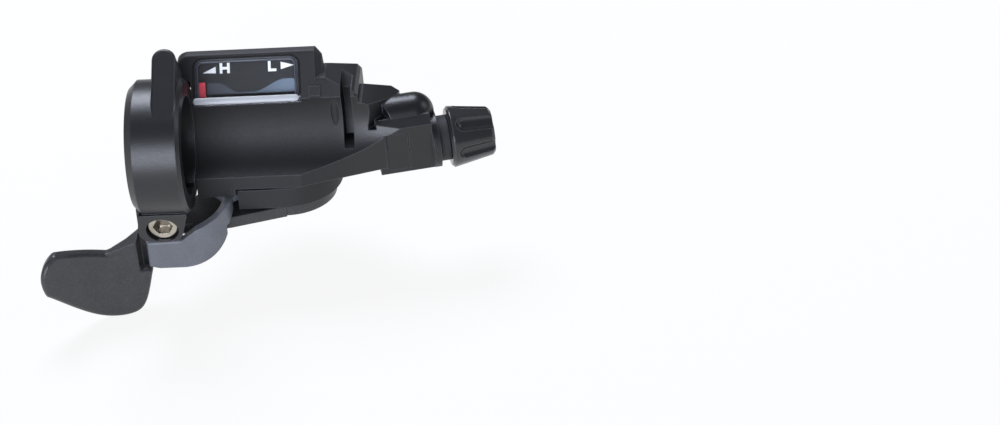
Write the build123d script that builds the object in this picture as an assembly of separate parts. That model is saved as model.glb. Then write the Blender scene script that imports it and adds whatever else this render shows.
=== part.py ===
from build123d import *
import math
import os

# Trigger gear shifter for a flat handlebar, left hand, in millimetres.
# X runs along the handlebar towards its middle, Y points forward and Z up.
# The origin is on the handlebar axis, at the middle of the clamp band's width.

# Fits
RUNNING_FIT = 0.05
PIN_FIT = 0.02
SEAT_GAP = 0.1
STACK_GAP = 0.2
SWING_GAP = 0.5

# Handlebar clamp
BAR_RADIUS = 11.1
CLAMP_FIT = 0.05
BAND_WALL = 4.05
BAND_WIDTH = 12.4
BAND_EDGE = 0.8
BAND_OUTER_EDGE = 1.7
SLIT_WIDTH = 1.8
LUG_RADIUS = 4.7
LUG_SHIFT = 0.8
LUG_NEAR = 8.2
LUG_FAR = 8.5
BOLT_X = -0.7
BOLT_DROP = 15.2
BOLT_TILT = 8
BOLT_RADIUS = 2.5
BOLT_HEAD_RADIUS = 3.6
BOLT_HEAD_HEIGHT = 4.4
BOLT_HEAD_SUNK = 0.2
BOLT_HEX = 4.0
BOLT_HEX_DEPTH = 2.6
BOLT_HEAD_EDGE = 0.4
NUT_WIDTH = 7.0
NUT_HEIGHT = 3.2
CHEEK_ANGLE = 224
CHEEK_WIDTH = 10.8
CHEEK_BOTTOM = (-8.3, -19.8)
FIN_WIDTH = 5.4
FIN_CENTRE = 2.6
FIN_ANGLE = 125
FIN_LENGTH = 17.2
FIN_DEPTH = 9.5
FIN_ROUNDING = 2.6
FIN_EDGE = 0.7
FOOT_DEPTH = 4.2
FOOT_NEAR = 13.2
FOOT_FAR = 21.5
FOOT_BOTTOM = -11.0
FOOT_TOP = 2.0
FOOT_MARGIN = 1.0
BAND_SCREW_RADIUS = 1.5
BAND_SCREW_HEAD = 2.7
BAND_SCREW_HEAD_HEIGHT = 1.7
BAND_SCREW_LENGTH = 7.0
BAND_SCREW_INSET = 3.4

# Mechanism axle and levels
PIVOT_X = 25.5
PIVOT_Y = 17.5
AXLE_RADIUS = 3.0
AXLE_HEAD_RADIUS = 4.6
AXLE_HEAD_HEIGHT = 1.4
CEILING_Z = -6.0
RIM_Z = -14.5
PLATE_THICKNESS = 1.4
RATCHET_THICKNESS = 1.3
RELEASE_THICKNESS = 1.4
LEVER_TOP_Z = -21.4
LEVER_THICKNESS = 2.7
WASHER_THICKNESS = 0.8
WASHER_RADIUS = 6.0
AXLE_NUT_HEIGHT = 2.2
AXLE_NUT_WIDTH = 9.0

# Upper housing
SADDLE_RADIUS = 11.8
SADDLE_WALL = 1.4
NEAR_Y = 3.5
NEAR_WALL_END = 30.0
NEAR_TURN = (37.6, 6.2)
FAR_Y = 35.6
FAR_TURN = (43.5, 26.5)
FAR_WALL_END = 33.5
FAR_WALL_START = 16.5
FAR_CORNER_RADIUS = 6.0
BACK_TOP = -3.5
BLOCK_END = 43.8
BLOCK_FALL_START = 36.6
BLOCK_FALL = 24
BLOCK_TOP = 8.0
BLOCK_DEPTH = 6.5
BLOCK_ROUNDING = 1.2
BLOCK_END_EDGE = 0.7
HOOD_START = 2.9
HOOD_WING_BOTTOM = 6.0
HOOD_END = 36.0
HOOD_DEPTH = 2.3
HOOD_ROUNDING = 0.8
HOOD_END_EDGE = 1.6
HOOD_CORNER = 3.0
SHOULDER_TOP = 2.1
SHOULDER_START = 44.5
SHOULDER_LAP = 3.0
SHOULDER_REACH = 12.0
SHOULDER_RUN = 7.0
SHOULDER_DROP = 19.5
SHOULDER_BACK = (30.0, -8.0)
SCOOP_NEAR = (45.6, 11.3)
SCOOP_FAR = (52.0, 18.5)
END_GROOVE_START = 40.0
END_GROOVE_END = 42.3
END_GROOVE_DEPTH = 5.5
END_GROOVE_FLOOR = -8.0
SKIRT_FAR = 19.0
POST_X = 38.3
POST_RADIUS = 1.2
POST_INSET = 0.7
POST_BOTTOM = -6.2

# Window
WINDOW_Y = 11.4
WINDOW_Z = 4.9
WINDOW_TILT = 55
WINDOW_HEIGHT = 9.3
WINDOW_START = 6.9
WINDOW_END = 30.9
WINDOW_FRAME = 0.7
LENS_THICKNESS = 1.6
LENS_LIP = 1.3
LENS_CORNER = 2.2
DIAL_DEPTH = 3.0
DIAL_THICKNESS = 0.6
DIAL_SLOT_Y = 0.75
DIAL_SLOT_WIDTH = 0.6
RAIL_RADIUS = 0.5
RAIL_DEPTH = 5.4
RAIL_BITE = 0.5
TRENCH_DEPTH = 6.9
TRENCH_HEIGHT = 2.7
NEEDLE_X = 8.6
NEEDLE_WIDTH = 1.5
NEEDLE_HEIGHT = 3.6
NEEDLE_THICKNESS = 0.6
CARRIER_WIDTH = 2.8
CARRIER_SIZE = 2.0
CLIP_START = 33.0
CLIP_WIDTH = 2.6
CLIP_HEIGHT = 2.0
CLIP_OUT = 0.6

# Cable spool, ratchet and pawls
GROOVE_RADIUS = 7.4
CABLE_RADIUS = 0.6
SPOOL_RADIUS = 8.2
SPOOL_TOP_Z = -9.9
SPOOL_HEIGHT = 4.0
SPOOL_HUB_RADIUS = 4.5
RATCHET_SEAT_RADIUS = 4.0
NIPPLE_RADIUS = 1.9
NIPPLE_INSET = 0.5
NIPPLE_ANGLE = 100
TOOTH_COUNT = 9
TOOTH_TIP = 7.2
TOOTH_ROOT = 6.0
TOOTH_LEAN = 32
PAWL_CLEAR = 0.25
PAWL_PIVOT = 9.4
PAWL_EYE = 1.5
PAWL_ROOM = 0.3
PAWL_WIDTH = 1.8
PAWL_HEEL = 1.25
PAWL_HEEL_LEAN = 6
PAWL_NECK = 1.35
PIN_RADIUS = 0.8
PAWL_SPRING_HEIGHT = 2.0
PAWL_SPRING_TURNS = 2.4
HOLD_ANGLE = 75
HOLD_NOSE_ANGLE = 115
DRIVE_ANGLE = 330
DRIVE_NOSE_ANGLE = 292
SPIRAL_THICKNESS = 0.5
SPIRAL_INNER = 3.7
SPIRAL_PITCH = 1.1
SPIRAL_HALF_TURNS = 4
SPIRAL_HEIGHT = 2.6
WIRE_RADIUS = 0.35
RELEASE_SPRING_RADIUS = 4.0
MAIN_SPRING_RADIUS = 6.5
LEVER_SPRING_TURNS = 1.8

# Lower cover and its screws
COVER_WALL = 1.2
COVER_EAR_HEIGHT = 2.2
EAR_RADIUS = 3.0
COVER_CORNER_X = 15.0
EAR_REACH = 2.8
EAR_ANGLES = (22, 90, 152)
COVER_SCREW_RADIUS = 1.2
COVER_SCREW_HEAD = 2.2
COVER_SCREW_HEAD_HEIGHT = 1.3
COVER_SCREW_LENGTH = 6.5
COVER_SCREW_SOCKET = 0.95

# Levers
RELEASE_RING = 5.4
RELEASE_ANGLE = 218
RELEASE_ARM_WIDTH = 4.6
RELEASE_WALL = 2.2
RELEASE_RISE = 1.2
RELEASE_SWING = 5.5
RELEASE_BOTTOM = -29.0
PAD_LEFT = -5.4
PAD_FRONT = -6.0
PAD_BEND_X = 4.0
PAD_BEND_RADIUS = 9.8
PAD_TAIL = 1.5
PAD_HEEL = -0.9
PAD_EDGE = 0.7
PAD_CLEARANCE = 0.6
PADDLE_THICKNESS = 2.8
PADDLE_RADIUS = 40.7
PADDLE_CENTRE_X = 2.4
PADDLE_FACE_Y = -3.8
PADDLE_RIGHT = -7.9
PADDLE_EDGE = 0.9
PADDLE_BOTTOM = -41.0
POCKET_FRONT = -5.0
POCKET_BACK = 0.7
POCKET_WALL = 1.6
POCKET_WALL_END = -3.0
POCKET_BOTTOM = RELEASE_BOTTOM - PAD_CLEARANCE
POCKET_BACK_BOTTOM = -32.6
KNEE_START = -3.0
KNEE_END = -14.6
KNEE_DROP = 2.2
WEB_NEAR_ANGLE = 292
WEB_FAR_ANGLE = 136

# Cable outlet and barrel adjuster, measured along the cable from the spool
CABLE_ANGLE = 12.4
BOX_START = 20.0
BOX_END = 32.4
BOX_HALF_WIDTH = 5.0
BOX_BOTTOM = -4.3
BOX_SIDE = 7.2
BOX_TOP = 8.7
BOX_SLOPE = 2.5
BOX_LAP = 2.0
TUBE_RADIUS = 4.5
TUBE_HEIGHT = 7.2
TUBE_SIDE = 1.6
TUBE_START = 18.5
TUBE_SLANT = 30
FLANGE_RADIUS = 6.7
FLANGE_THICKNESS = 1.6
COLLAR_RADIUS = 5.2
COLLAR_THICKNESS = 2.3
STUD_RADIUS = 3.0
STUD_LENGTH = 9.0
CABLE_BORE_RADIUS = 1.0
OUTLET_RADIUS = 2.5
OUTLET_DEPTH = 6.0
KNOB_INNER_RADIUS = 7.1
KNOB_OUTER_RADIUS = 5.6
KNOB_LENGTH = 10.2
KNOB_EDGE = 0.6
KNOB_FLUTES = 6
FLUTE_RADIUS = 1.9
FLUTE_START = 3.4
FLUTE_TURN = 38
FLUTE_OUT = 0.3
DOOR_START = 1.6
DOOR_LIFT = 0.8
DOOR_LENGTH = 5.2
DOOR_HEIGHT = 9.2
DOOR_THICKNESS = 1.2

# Levels that follow from the stack
BAND_INNER = BAR_RADIUS + CLAMP_FIT
BAND_OUTER = BAND_INNER + BAND_WALL
BAND_END = BAND_WIDTH / 2
COVER_RADIUS = PAWL_PIVOT + PAWL_EYE + PAWL_ROOM + COVER_WALL
CAVITY_RADIUS = COVER_RADIUS - SEAT_GAP
EAR_CENTRE = COVER_RADIUS + EAR_REACH
HUB_RADIUS = COVER_RADIUS - COVER_WALL - SWING_GAP
PAD_BEND_Y = PAD_FRONT + PAD_BEND_RADIUS
PAD_TAIL_X = PAD_BEND_X + PAD_BEND_RADIUS - RELEASE_WALL / 2
RELEASE_ARM_REACH = math.hypot(PIVOT_X - PAD_TAIL_X, PIVOT_Y - PAD_BEND_Y)
PADDLE_CENTRE = (PADDLE_CENTRE_X, PADDLE_FACE_Y - PADDLE_RADIUS)
PLATE_BOTTOM = RIM_Z - PLATE_THICKNESS
RATCHET_TOP = PLATE_BOTTOM - STACK_GAP
RATCHET_BOTTOM = RATCHET_TOP - RATCHET_THICKNESS
RELEASE_TOP = RATCHET_BOTTOM - STACK_GAP
RELEASE_BASE = RELEASE_TOP - RELEASE_THICKNESS
COVER_BOTTOM = LEVER_TOP_Z + STACK_GAP
LEVER_BASE = LEVER_TOP_Z - LEVER_THICKNESS
WASHER_TOP = LEVER_BASE - RUNNING_FIT
AXLE_NUT_TOP = WASHER_TOP - WASHER_THICKNESS
AXLE_END = AXLE_NUT_TOP - AXLE_NUT_HEIGHT
SPOOL_BASE = SPOOL_TOP_Z - SPOOL_HEIGHT
GROOVE_Z = SPOOL_TOP_Z - SPOOL_HEIGHT / 2
BAND_SCREW_PLACES = (
    (FOOT_FAR - BAND_SCREW_INSET, FOOT_BOTTOM + BAND_SCREW_INSET),
    (FOOT_FAR - BAND_SCREW_INSET, FOOT_TOP - BAND_SCREW_INSET),
)
THROUGH = 60.0

# Outlines of the levers, X and Z as the rider sees them, and of the web, X and Y
PAD_UPPER = [
    (PAD_LEFT - STACK_GAP, RELEASE_BOTTOM + 0.8),
    (PAD_LEFT - STACK_GAP, LEVER_TOP_Z - 0.3),
    (3.0, LEVER_TOP_Z),
    (4.5, LEVER_TOP_Z + 1.2),
    (6.2, LEVER_TOP_Z + 2.3),
    (10.8, RELEASE_TOP),
    (12.4, RELEASE_TOP + 1.0),
    (14.4, RELEASE_TOP + RELEASE_RISE),
    (14.4, RELEASE_BASE),
    (13.2, LEVER_TOP_Z + 0.4),
]
PAD_LOWER = [(9.6, RELEASE_BOTTOM + 2.0), (3.0, RELEASE_BOTTOM), (-3.4, RELEASE_BOTTOM + 0.1)]
PADDLE_UPPER = [
    (-4.8, POCKET_BOTTOM - 0.4),
    (PADDLE_RIGHT, POCKET_BOTTOM),
    (PADDLE_RIGHT, LEVER_TOP_Z - 1.0),
    (KNEE_END, LEVER_TOP_Z - KNEE_DROP),
    (-25.3, -19.2),
]
PADDLE_TIP = [(-28.0, -22.0), (-28.4, -26.2), (-27.9, PADDLE_BOTTOM + 12.4)]
PADDLE_LOWER = [
    (-21.0, PADDLE_BOTTOM + 4.3),
    (-13.0, PADDLE_BOTTOM),
    (-9.0, PADDLE_BOTTOM + 0.6),
    (-7.0, PADDLE_BOTTOM + 3.6),
]
WEB_NEAR = [
    (13.2, 2.6),
    (5.0, 0.9),
    (PADDLE_RIGHT, POCKET_BACK),
    (PADDLE_RIGHT, POCKET_FRONT),
    (KNEE_END, -7.3),
]
WEB_FAR = [(KNEE_END, -5.4), (-10.6, -2.0), (-7.0, 2.6)]

# Frames
PIVOT = Pos(PIVOT_X, PIVOT_Y, 0)
BOLT_PLANE = Plane(
    origin=(BOLT_X, 0, -BOLT_DROP),
    x_dir=(1, 0, 0),
    z_dir=(0, -math.cos(math.radians(BOLT_TILT)), -math.sin(math.radians(BOLT_TILT))),
)
FIN_TURN = math.radians(FIN_ANGLE)
FIN_PLANE = Plane(
    origin=(0, BAND_OUTER * math.cos(FIN_TURN), BAND_OUTER * math.sin(FIN_TURN)),
    x_dir=(1, 0, 0),
    z_dir=(0, math.cos(FIN_TURN), math.sin(FIN_TURN)),
)
WINDOW_PLANE = Plane(
    origin=(0, WINDOW_Y, WINDOW_Z),
    x_dir=(1, 0, 0),
    z_dir=(0, -math.sin(math.radians(WINDOW_TILT)), math.cos(math.radians(WINDOW_TILT))),
)
CABLE_TURN = math.radians(CABLE_ANGLE)
CABLE_PLANE = Plane(
    origin=(
        PIVOT_X + GROOVE_RADIUS * math.sin(CABLE_TURN),
        PIVOT_Y - GROOVE_RADIUS * math.cos(CABLE_TURN),
        GROOVE_Z,
    ),
    x_dir=(math.cos(CABLE_TURN), math.sin(CABLE_TURN), 0),
    z_dir=(0, 0, 1),
)
TUBE_PLACE = Pos(-TUBE_SIDE * math.sin(CABLE_TURN), TUBE_SIDE * math.cos(CABLE_TURN), TUBE_HEIGHT)
FLANGE_END = BOX_END + FLANGE_THICKNESS
COLLAR_START = FLANGE_END + SEAT_GAP
KNOB_START = COLLAR_START + COLLAR_THICKNESS + SEAT_GAP
LOW = (Align.CENTER, Align.CENTER, Align.MIN)
CORNER = (Align.MIN, Align.MIN, Align.MIN)


def rod(radius, z0, z1, x=0, y=0):
    """Upright cylinder between two levels."""
    return Pos(x, y, z0) * Cylinder(radius, z1 - z0, align=LOW)


def rod_x(radius, x0, x1, y=0, z=0):
    """Cylinder along X between two places."""
    return Pos(x0, y, z) * Rot(0, 90, 0) * Cylinder(radius, x1 - x0, align=LOW)


def block(x0, x1, y0, y1, z0, z1):
    """Box between two corners."""
    return Pos(x0, y0, z0) * Box(x1 - x0, y1 - y0, z1 - z0, align=CORNER)


def plan_prism(points, z0, z1):
    """Outline in the XY plane, raised between two levels."""
    return Pos(0, 0, z0) * extrude(make_face(Polyline(*points, close=True)), z1 - z0)


def side_prism(points, x0, x1):
    """Outline of Y and Z points, carried along X."""
    face = Plane.YZ * make_face(Polyline(*points, close=True))
    return Pos(x0, 0, 0) * extrude(face, x1 - x0, dir=(1, 0, 0))


def front_prism(curve, y0, y1):
    """Closed outline of X and Z points, carried along Y."""
    face = Plane.XZ * make_face(curve)
    return Pos(0, y0, 0) * extrude(face, y1 - y0, dir=(0, 1, 0))


def polar(radius, angle):
    """Point about the axle at a radius and an angle in degrees."""
    turn = math.radians(angle)
    return (PIVOT_X + radius * math.cos(turn), PIVOT_Y + radius * math.sin(turn))


def window_point(along, out):
    """Y and Z of a point given along the window pane and out of it."""
    turn = math.radians(WINDOW_TILT)
    y = WINDOW_Y + along * math.cos(turn) - out * math.sin(turn)
    z = WINDOW_Z + along * math.sin(turn) + out * math.cos(turn)
    return (y, z)


def cable_rod(radius, start, end):
    """Cylinder on the cable line."""
    turned = CABLE_PLANE * Rot(0, 90, 0)
    return turned * Pos(0, 0, start) * Cylinder(radius, end - start, align=LOW)


def cable_box(start, end, y0, y1, z0, z1):
    """Box in the cable frame."""
    return CABLE_PLANE * block(start, end, y0, y1, z0, z1)


# Clamp band with its bolt
def band_fin():
    """Fin that leaves the band at a tangent and rises beside the window."""
    side = FIN_WIDTH / 2
    fin = block(FIN_CENTRE - side, FIN_CENTRE + side, 0, FIN_LENGTH, -FIN_DEPTH, 0)
    fin = fillet(fin.edges().filter_by(Axis.Z).group_by(Axis.Y)[-1], FIN_ROUNDING)
    face = fin.faces().sort_by(Axis.Z)[-1]
    return FIN_PLANE * fillet(face.edges().sort_by(Axis.Y)[1:], FIN_EDGE)


def band_cheek():
    """Near face of the lug, which runs down from the band at a tangent."""
    turn = math.radians(CHEEK_ANGLE)
    top = (BAND_OUTER * math.cos(turn), BAND_OUTER * math.sin(turn))
    profile = side_prism([top, CHEEK_BOTTOM, (0, CHEEK_BOTTOM[1]), (0, top[1])], -BAND_END, BAND_END)
    lug = [*Circle(LUG_RADIUS).edges(), *(Pos(-LUG_SHIFT, 0) * Circle(LUG_RADIUS)).edges()]
    brow = Pos(-BOLT_X, BOLT_DROP + top[1]) * Rectangle(CHEEK_WIDTH, BAND_EDGE)
    return profile & BOLT_PLANE * extrude(make_hull([*lug, *brow.edges()]), 2 * LUG_FAR)


def clamp_band():
    """Split ring with two lugs, a fin and the foot that meets the housing."""
    ring = rod_x(BAND_OUTER, -BAND_END, BAND_END)
    ring = chamfer(ring.edges().sort_by(Axis.X)[-1], BAND_EDGE)
    ring = chamfer(ring.edges().sort_by(Axis.X)[0], BAND_OUTER_EDGE)
    lug_face = make_hull([*Circle(LUG_RADIUS).edges(), *(Pos(-LUG_SHIFT, 0) * Circle(LUG_RADIUS)).edges()])
    lug = extrude(lug_face, LUG_NEAR + LUG_FAR)
    lug = BOLT_PLANE * Pos(0, 0, -LUG_FAR) * chamfer(lug.edges().group_by(Axis.Z)[-1], BAND_EDGE / 2)
    neck_left = BOLT_X - LUG_RADIUS - LUG_SHIFT
    neck_right = BOLT_X + LUG_RADIUS
    neck = block(neck_left, neck_right, -LUG_NEAR, LUG_FAR - BAND_EDGE, -BOLT_DROP, -BAND_INNER)
    foot = block(BAND_END - FOOT_DEPTH, BAND_END, FOOT_NEAR, FOOT_FAR, FOOT_BOTTOM, FOOT_TOP)
    foot = fillet(foot.edges().filter_by(Axis.X).group_by(Axis.Y)[-1], BAND_EDGE)
    bridge = block(BAND_END - FOOT_DEPTH, BAND_END, 0, FOOT_NEAR, FOOT_BOTTOM, FOOT_TOP)
    band = ring + lug + neck + band_cheek() + band_fin() + foot + bridge
    band -= rod_x(BAND_INNER, -BAND_WIDTH, BAND_WIDTH)
    band -= block(-BAND_WIDTH, BAND_WIDTH, 0, SLIT_WIDTH, -BOLT_DROP - 2 * LUG_RADIUS, 0)
    bolt_hole = Pos(0, 0, -2 * LUG_FAR) * Cylinder(BOLT_RADIUS + SEAT_GAP, 4 * LUG_FAR, align=LOW)
    seat = LUG_NEAR - BOLT_HEAD_HEIGHT - BOLT_HEAD_SUNK
    counterbore = Pos(0, 0, seat) * Cylinder(BOLT_HEAD_RADIUS + SEAT_GAP, 3 * LUG_FAR, align=LOW)
    nut_side = NUT_WIDTH + 2 * SEAT_GAP
    nut_pocket = Pos(0, 0, -2 * LUG_FAR) * Box(
        nut_side, nut_side, LUG_FAR + NUT_HEIGHT, align=LOW
    )
    band -= BOLT_PLANE * (bolt_hole + counterbore + nut_pocket)
    for y, z in BAND_SCREW_PLACES:
        band -= rod_x(BAND_SCREW_RADIUS + SEAT_GAP, 0, BAND_WIDTH, y, z)
    return band


def clamp_bolt():
    """Socket-head bolt, head towards the rider."""
    seat = LUG_NEAR - BOLT_HEAD_HEIGHT - BOLT_HEAD_SUNK
    head = Pos(0, 0, seat) * Cylinder(BOLT_HEAD_RADIUS, BOLT_HEAD_HEIGHT, align=LOW)
    head = chamfer(head.edges().sort_by(Axis.Z)[-1], BOLT_HEAD_EDGE)
    hexagon = RegularPolygon(BOLT_HEX / math.sqrt(3), 6)
    socket_floor = seat + BOLT_HEAD_HEIGHT - BOLT_HEX_DEPTH
    head -= Pos(0, 0, socket_floor) * extrude(hexagon, BOLT_HEAD_HEIGHT)
    shank = Pos(0, 0, -LUG_FAR) * Cylinder(BOLT_RADIUS, LUG_FAR + seat, align=LOW)
    return BOLT_PLANE * (head + shank)


def clamp_nut():
    """Square nut in the far lug."""
    nut = Pos(0, 0, -LUG_FAR) * Box(NUT_WIDTH, NUT_WIDTH, NUT_HEIGHT, align=LOW)
    nut -= Pos(0, 0, -LUG_FAR) * Cylinder(BOLT_RADIUS + PIN_FIT, NUT_HEIGHT, align=LOW)
    return BOLT_PLANE * nut


def band_screws():
    """Screws along X that hold the band's foot to the housing."""
    head_start = BAND_END - FOOT_DEPTH - BAND_SCREW_HEAD_HEIGHT
    screws = []
    for y, z in BAND_SCREW_PLACES:
        head = rod_x(BAND_SCREW_HEAD, head_start, BAND_END - FOOT_DEPTH, y, z)
        shank_end = BAND_END - FOOT_DEPTH + BAND_SCREW_LENGTH
        shank = rod_x(BAND_SCREW_RADIUS, head_start, shank_end, y, z)
        slot = rod_x(BAND_SCREW_RADIUS, head_start, head_start + BAND_SCREW_HEAD_HEIGHT / 2, y, z)
        screws.append(head + shank - slot)
    return screws


# Upper housing
def housing_outline():
    """Plan outline of the housing, from the near left corner round."""
    box_corner = CABLE_PLANE * Pos(BOX_START + BOX_LAP, -BOX_HALF_WIDTH, 0)
    box_back = CABLE_PLANE * Pos(BOX_START + SHOULDER_RUN, BOX_HALF_WIDTH, 0)
    return [
        (BAND_END, NEAR_Y),
        (NEAR_WALL_END, NEAR_Y),
        NEAR_TURN,
        (box_corner.position.X, box_corner.position.Y),
        (box_back.position.X, box_back.position.Y),
        FAR_TURN,
        (FAR_WALL_END, FAR_Y),
        (FAR_WALL_START, FAR_Y),
        (BAND_END, FOOT_FAR + FOOT_MARGIN),
    ]


def housing_body():
    """Outer form of the housing before it is hollowed."""
    plan = make_face(Polyline(*housing_outline(), close=True))
    plan = fillet(plan.vertices().group_by(Axis.Y)[-1], FAR_CORNER_RADIUS)
    upright = Pos(0, 0, RIM_Z) * extrude(plan, BLOCK_TOP + WINDOW_HEIGHT - RIM_Z)
    lip = window_point(-WINDOW_FRAME, 0)
    rise = (BLOCK_TOP - WINDOW_Z) / math.sin(math.radians(WINDOW_TILT))
    brow = window_point(rise, 0)
    back = (FAR_Y, BACK_TOP)
    profile = [
        (0, RIM_Z),
        (0, RIM_Z / 2),
        lip,
        brow,
        (brow[0] + BLOCK_DEPTH, BLOCK_TOP),
        back,
        (FAR_Y, RIM_Z),
    ]
    main = side_prism(profile, BAND_END, BLOCK_END)
    main = fillet(main.edges().filter_by(Axis.X).group_by(Axis.Z)[-1], BLOCK_ROUNDING)
    fall = Pos(BLOCK_FALL_START, 0, BLOCK_TOP) * Rot(0, BLOCK_FALL, 0)
    main -= fall * block(0, THROUGH, 0, FAR_Y, 0, THROUGH)
    main = chamfer(main.faces().sort_by(Axis.X)[-1].edges(), BLOCK_END_EDGE)
    shoulder_profile = [
        (0, RIM_Z),
        (0, SHOULDER_TOP),
        (brow[0] + BLOCK_DEPTH, SHOULDER_TOP),
        SHOULDER_BACK,
        (FAR_Y, RIM_Z),
    ]
    shoulder = side_prism(shoulder_profile, BLOCK_END - SHOULDER_LAP, BLOCK_END + SHOULDER_REACH)
    ramp = Pos(SHOULDER_START, 0, SHOULDER_TOP) * Rot(0, SHOULDER_DROP, 0)
    shoulder -= ramp * block(0, THROUGH, 0, FAR_Y, 0, THROUGH)
    shoulder -= shoulder_scoop()
    return (upright & (main + shoulder)) + window_hood(lip) + window_clip() + lower_skirt()


def window_hood(lip):
    """Hood that stands over the housing and frames the window."""
    top = window_point(WINDOW_HEIGHT + WINDOW_FRAME, 0)
    hood = side_prism(
        [
            lip,
            top,
            (top[0] + HOOD_DEPTH, top[1]),
            (top[0] + 2 * HOOD_DEPTH, BLOCK_TOP),
            window_point(-WINDOW_FRAME, -TRENCH_DEPTH),
        ],
        HOOD_START,
        HOOD_END,
    )
    hood = chamfer(hood.faces().sort_by(Axis.X)[-1].edges(), HOOD_END_EDGE)
    hood = fillet(hood.edges().filter_by(Axis.Y).group_by(Axis.Z)[-1].sort_by(Axis.X)[0], HOOD_CORNER)
    top_edges = hood.edges().filter_by(Axis.X).group_by(Axis.Z)[-1]
    hood = fillet(top_edges, HOOD_ROUNDING)
    hood -= block(HOOD_START, BAND_END, 0, FAR_Y, RIM_Z, HOOD_WING_BOTTOM)
    return hood - rod_x(BAND_OUTER + 2 * SWING_GAP, HOOD_START, BAND_END)


def window_clip():
    """Small square clip beside the window."""
    clip = block(
        CLIP_START, CLIP_START + CLIP_WIDTH, -WINDOW_FRAME, CLIP_HEIGHT, -LENS_THICKNESS, CLIP_OUT
    )
    return WINDOW_PLANE * clip


def lower_skirt():
    """Low rim beside the round cover, over the release lever's arm."""
    bottom = RELEASE_TOP + RELEASE_RISE + STACK_GAP
    skirt = block(BAND_END, COVER_CORNER_X - STACK_GAP, NEAR_Y, SKIRT_FAR, bottom, RIM_Z)
    return skirt - PIVOT * rod(COVER_RADIUS + STACK_GAP, bottom, RIM_Z)


def shoulder_scoop():
    """Room in front of the tube, where the shoulder draws back from the bar."""
    points = [(SCOOP_NEAR[0], 0), SCOOP_NEAR, SCOOP_FAR, (THROUGH, SCOOP_FAR[1]), (THROUGH, 0)]
    return plan_prism(points, GROOVE_Z + BOX_SIDE, THROUGH)


def end_groove():
    """Dark upright groove between the window block and the shoulder."""
    room = block(END_GROOVE_START, END_GROOVE_END, -THROUGH, THROUGH, -END_GROOVE_DEPTH, THROUGH)
    groove = WINDOW_PLANE * room + rod_x(SADDLE_RADIUS + END_GROOVE_DEPTH, END_GROOVE_START, END_GROOVE_END)
    return groove & block(END_GROOVE_START, END_GROOVE_END, 0, FAR_Y, END_GROOVE_FLOOR, THROUGH)


def saddle_post():
    """Short upright post at the saddle's end."""
    return rod(POST_RADIUS, POST_BOTTOM, WINDOW_Z - SADDLE_WALL, POST_X, SADDLE_RADIUS + POST_INSET)


def outlet_arm():
    """Box and tube that carry the cable to the adjuster."""
    profile = [
        (-BOX_HALF_WIDTH, BOX_BOTTOM),
        (-BOX_HALF_WIDTH, BOX_SIDE),
        (-BOX_HALF_WIDTH + BOX_SLOPE, BOX_TOP),
        (BOX_HALF_WIDTH, BOX_TOP),
        (BOX_HALF_WIDTH, BOX_BOTTOM),
    ]
    arm = CABLE_PLANE * side_prism(profile, BOX_START, BOX_END)
    tube_end = FLANGE_END - TUBE_RADIUS
    tube = cable_rod(TUBE_RADIUS, TUBE_START, tube_end)
    tube += CABLE_PLANE * Pos(tube_end, 0, 0) * Sphere(TUBE_RADIUS)
    slant = Pos(TUBE_START, TUBE_RADIUS, 0) * Rot(0, 0, TUBE_SLANT)
    tube -= CABLE_PLANE * slant * block(-THROUGH, 0, -THROUGH, THROUGH, -TUBE_RADIUS, TUBE_RADIUS)
    flange = cable_rod(FLANGE_RADIUS, BOX_END, FLANGE_END)
    flange -= cable_box(BOX_END, FLANGE_END, -FLANGE_RADIUS, FLANGE_RADIUS, -FLANGE_RADIUS, BOX_BOTTOM)
    return arm + TUBE_PLACE * tube + flange


def upper_housing():
    """Moulded housing: hood with the window, saddle for the bar, and cable outlet."""
    body = housing_body() + outlet_arm()
    body -= rod_x(SADDLE_RADIUS, 0, 2 * BLOCK_END)
    body -= end_groove()
    body += saddle_post()
    cavity = PIVOT * rod(CAVITY_RADIUS, RIM_Z, CEILING_Z)
    cavity -= rod_x(SADDLE_RADIUS + SADDLE_WALL, 0, 2 * BLOCK_END)
    cavity += PIVOT * rod(AXLE_HEAD_RADIUS + PIN_FIT, CEILING_Z, CEILING_Z + AXLE_HEAD_HEIGHT)
    body -= cavity
    body -= WINDOW_PLANE * window_recess()
    body -= WINDOW_PLANE * rod_x(
        RAIL_RADIUS + PIN_FIT,
        WINDOW_START - RAIL_BITE,
        WINDOW_END + RAIL_BITE,
        DIAL_SLOT_Y,
        -RAIL_DEPTH,
    )
    body -= cable_rod(STUD_RADIUS + RUNNING_FIT, FLANGE_END - STUD_LENGTH - STACK_GAP, FLANGE_END)
    body -= cable_rod(CABLE_BORE_RADIUS, 0, FLANGE_END)
    body -= cable_door_form(SEAT_GAP)
    body -= TUBE_PLACE * cable_rod(OUTLET_RADIUS, TUBE_START, TUBE_START + 2 * OUTLET_DEPTH)
    for angle in EAR_ANGLES:
        x, y = polar(EAR_CENTRE, angle)
        body -= rod(COVER_SCREW_RADIUS + PIN_FIT, RIM_Z, RIM_Z + COVER_SCREW_LENGTH, x, y)
    for y, z in BAND_SCREW_PLACES:
        body -= rod_x(BAND_SCREW_RADIUS + PIN_FIT, 0, BAND_END + BAND_SCREW_LENGTH, y, z)
    return body


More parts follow.
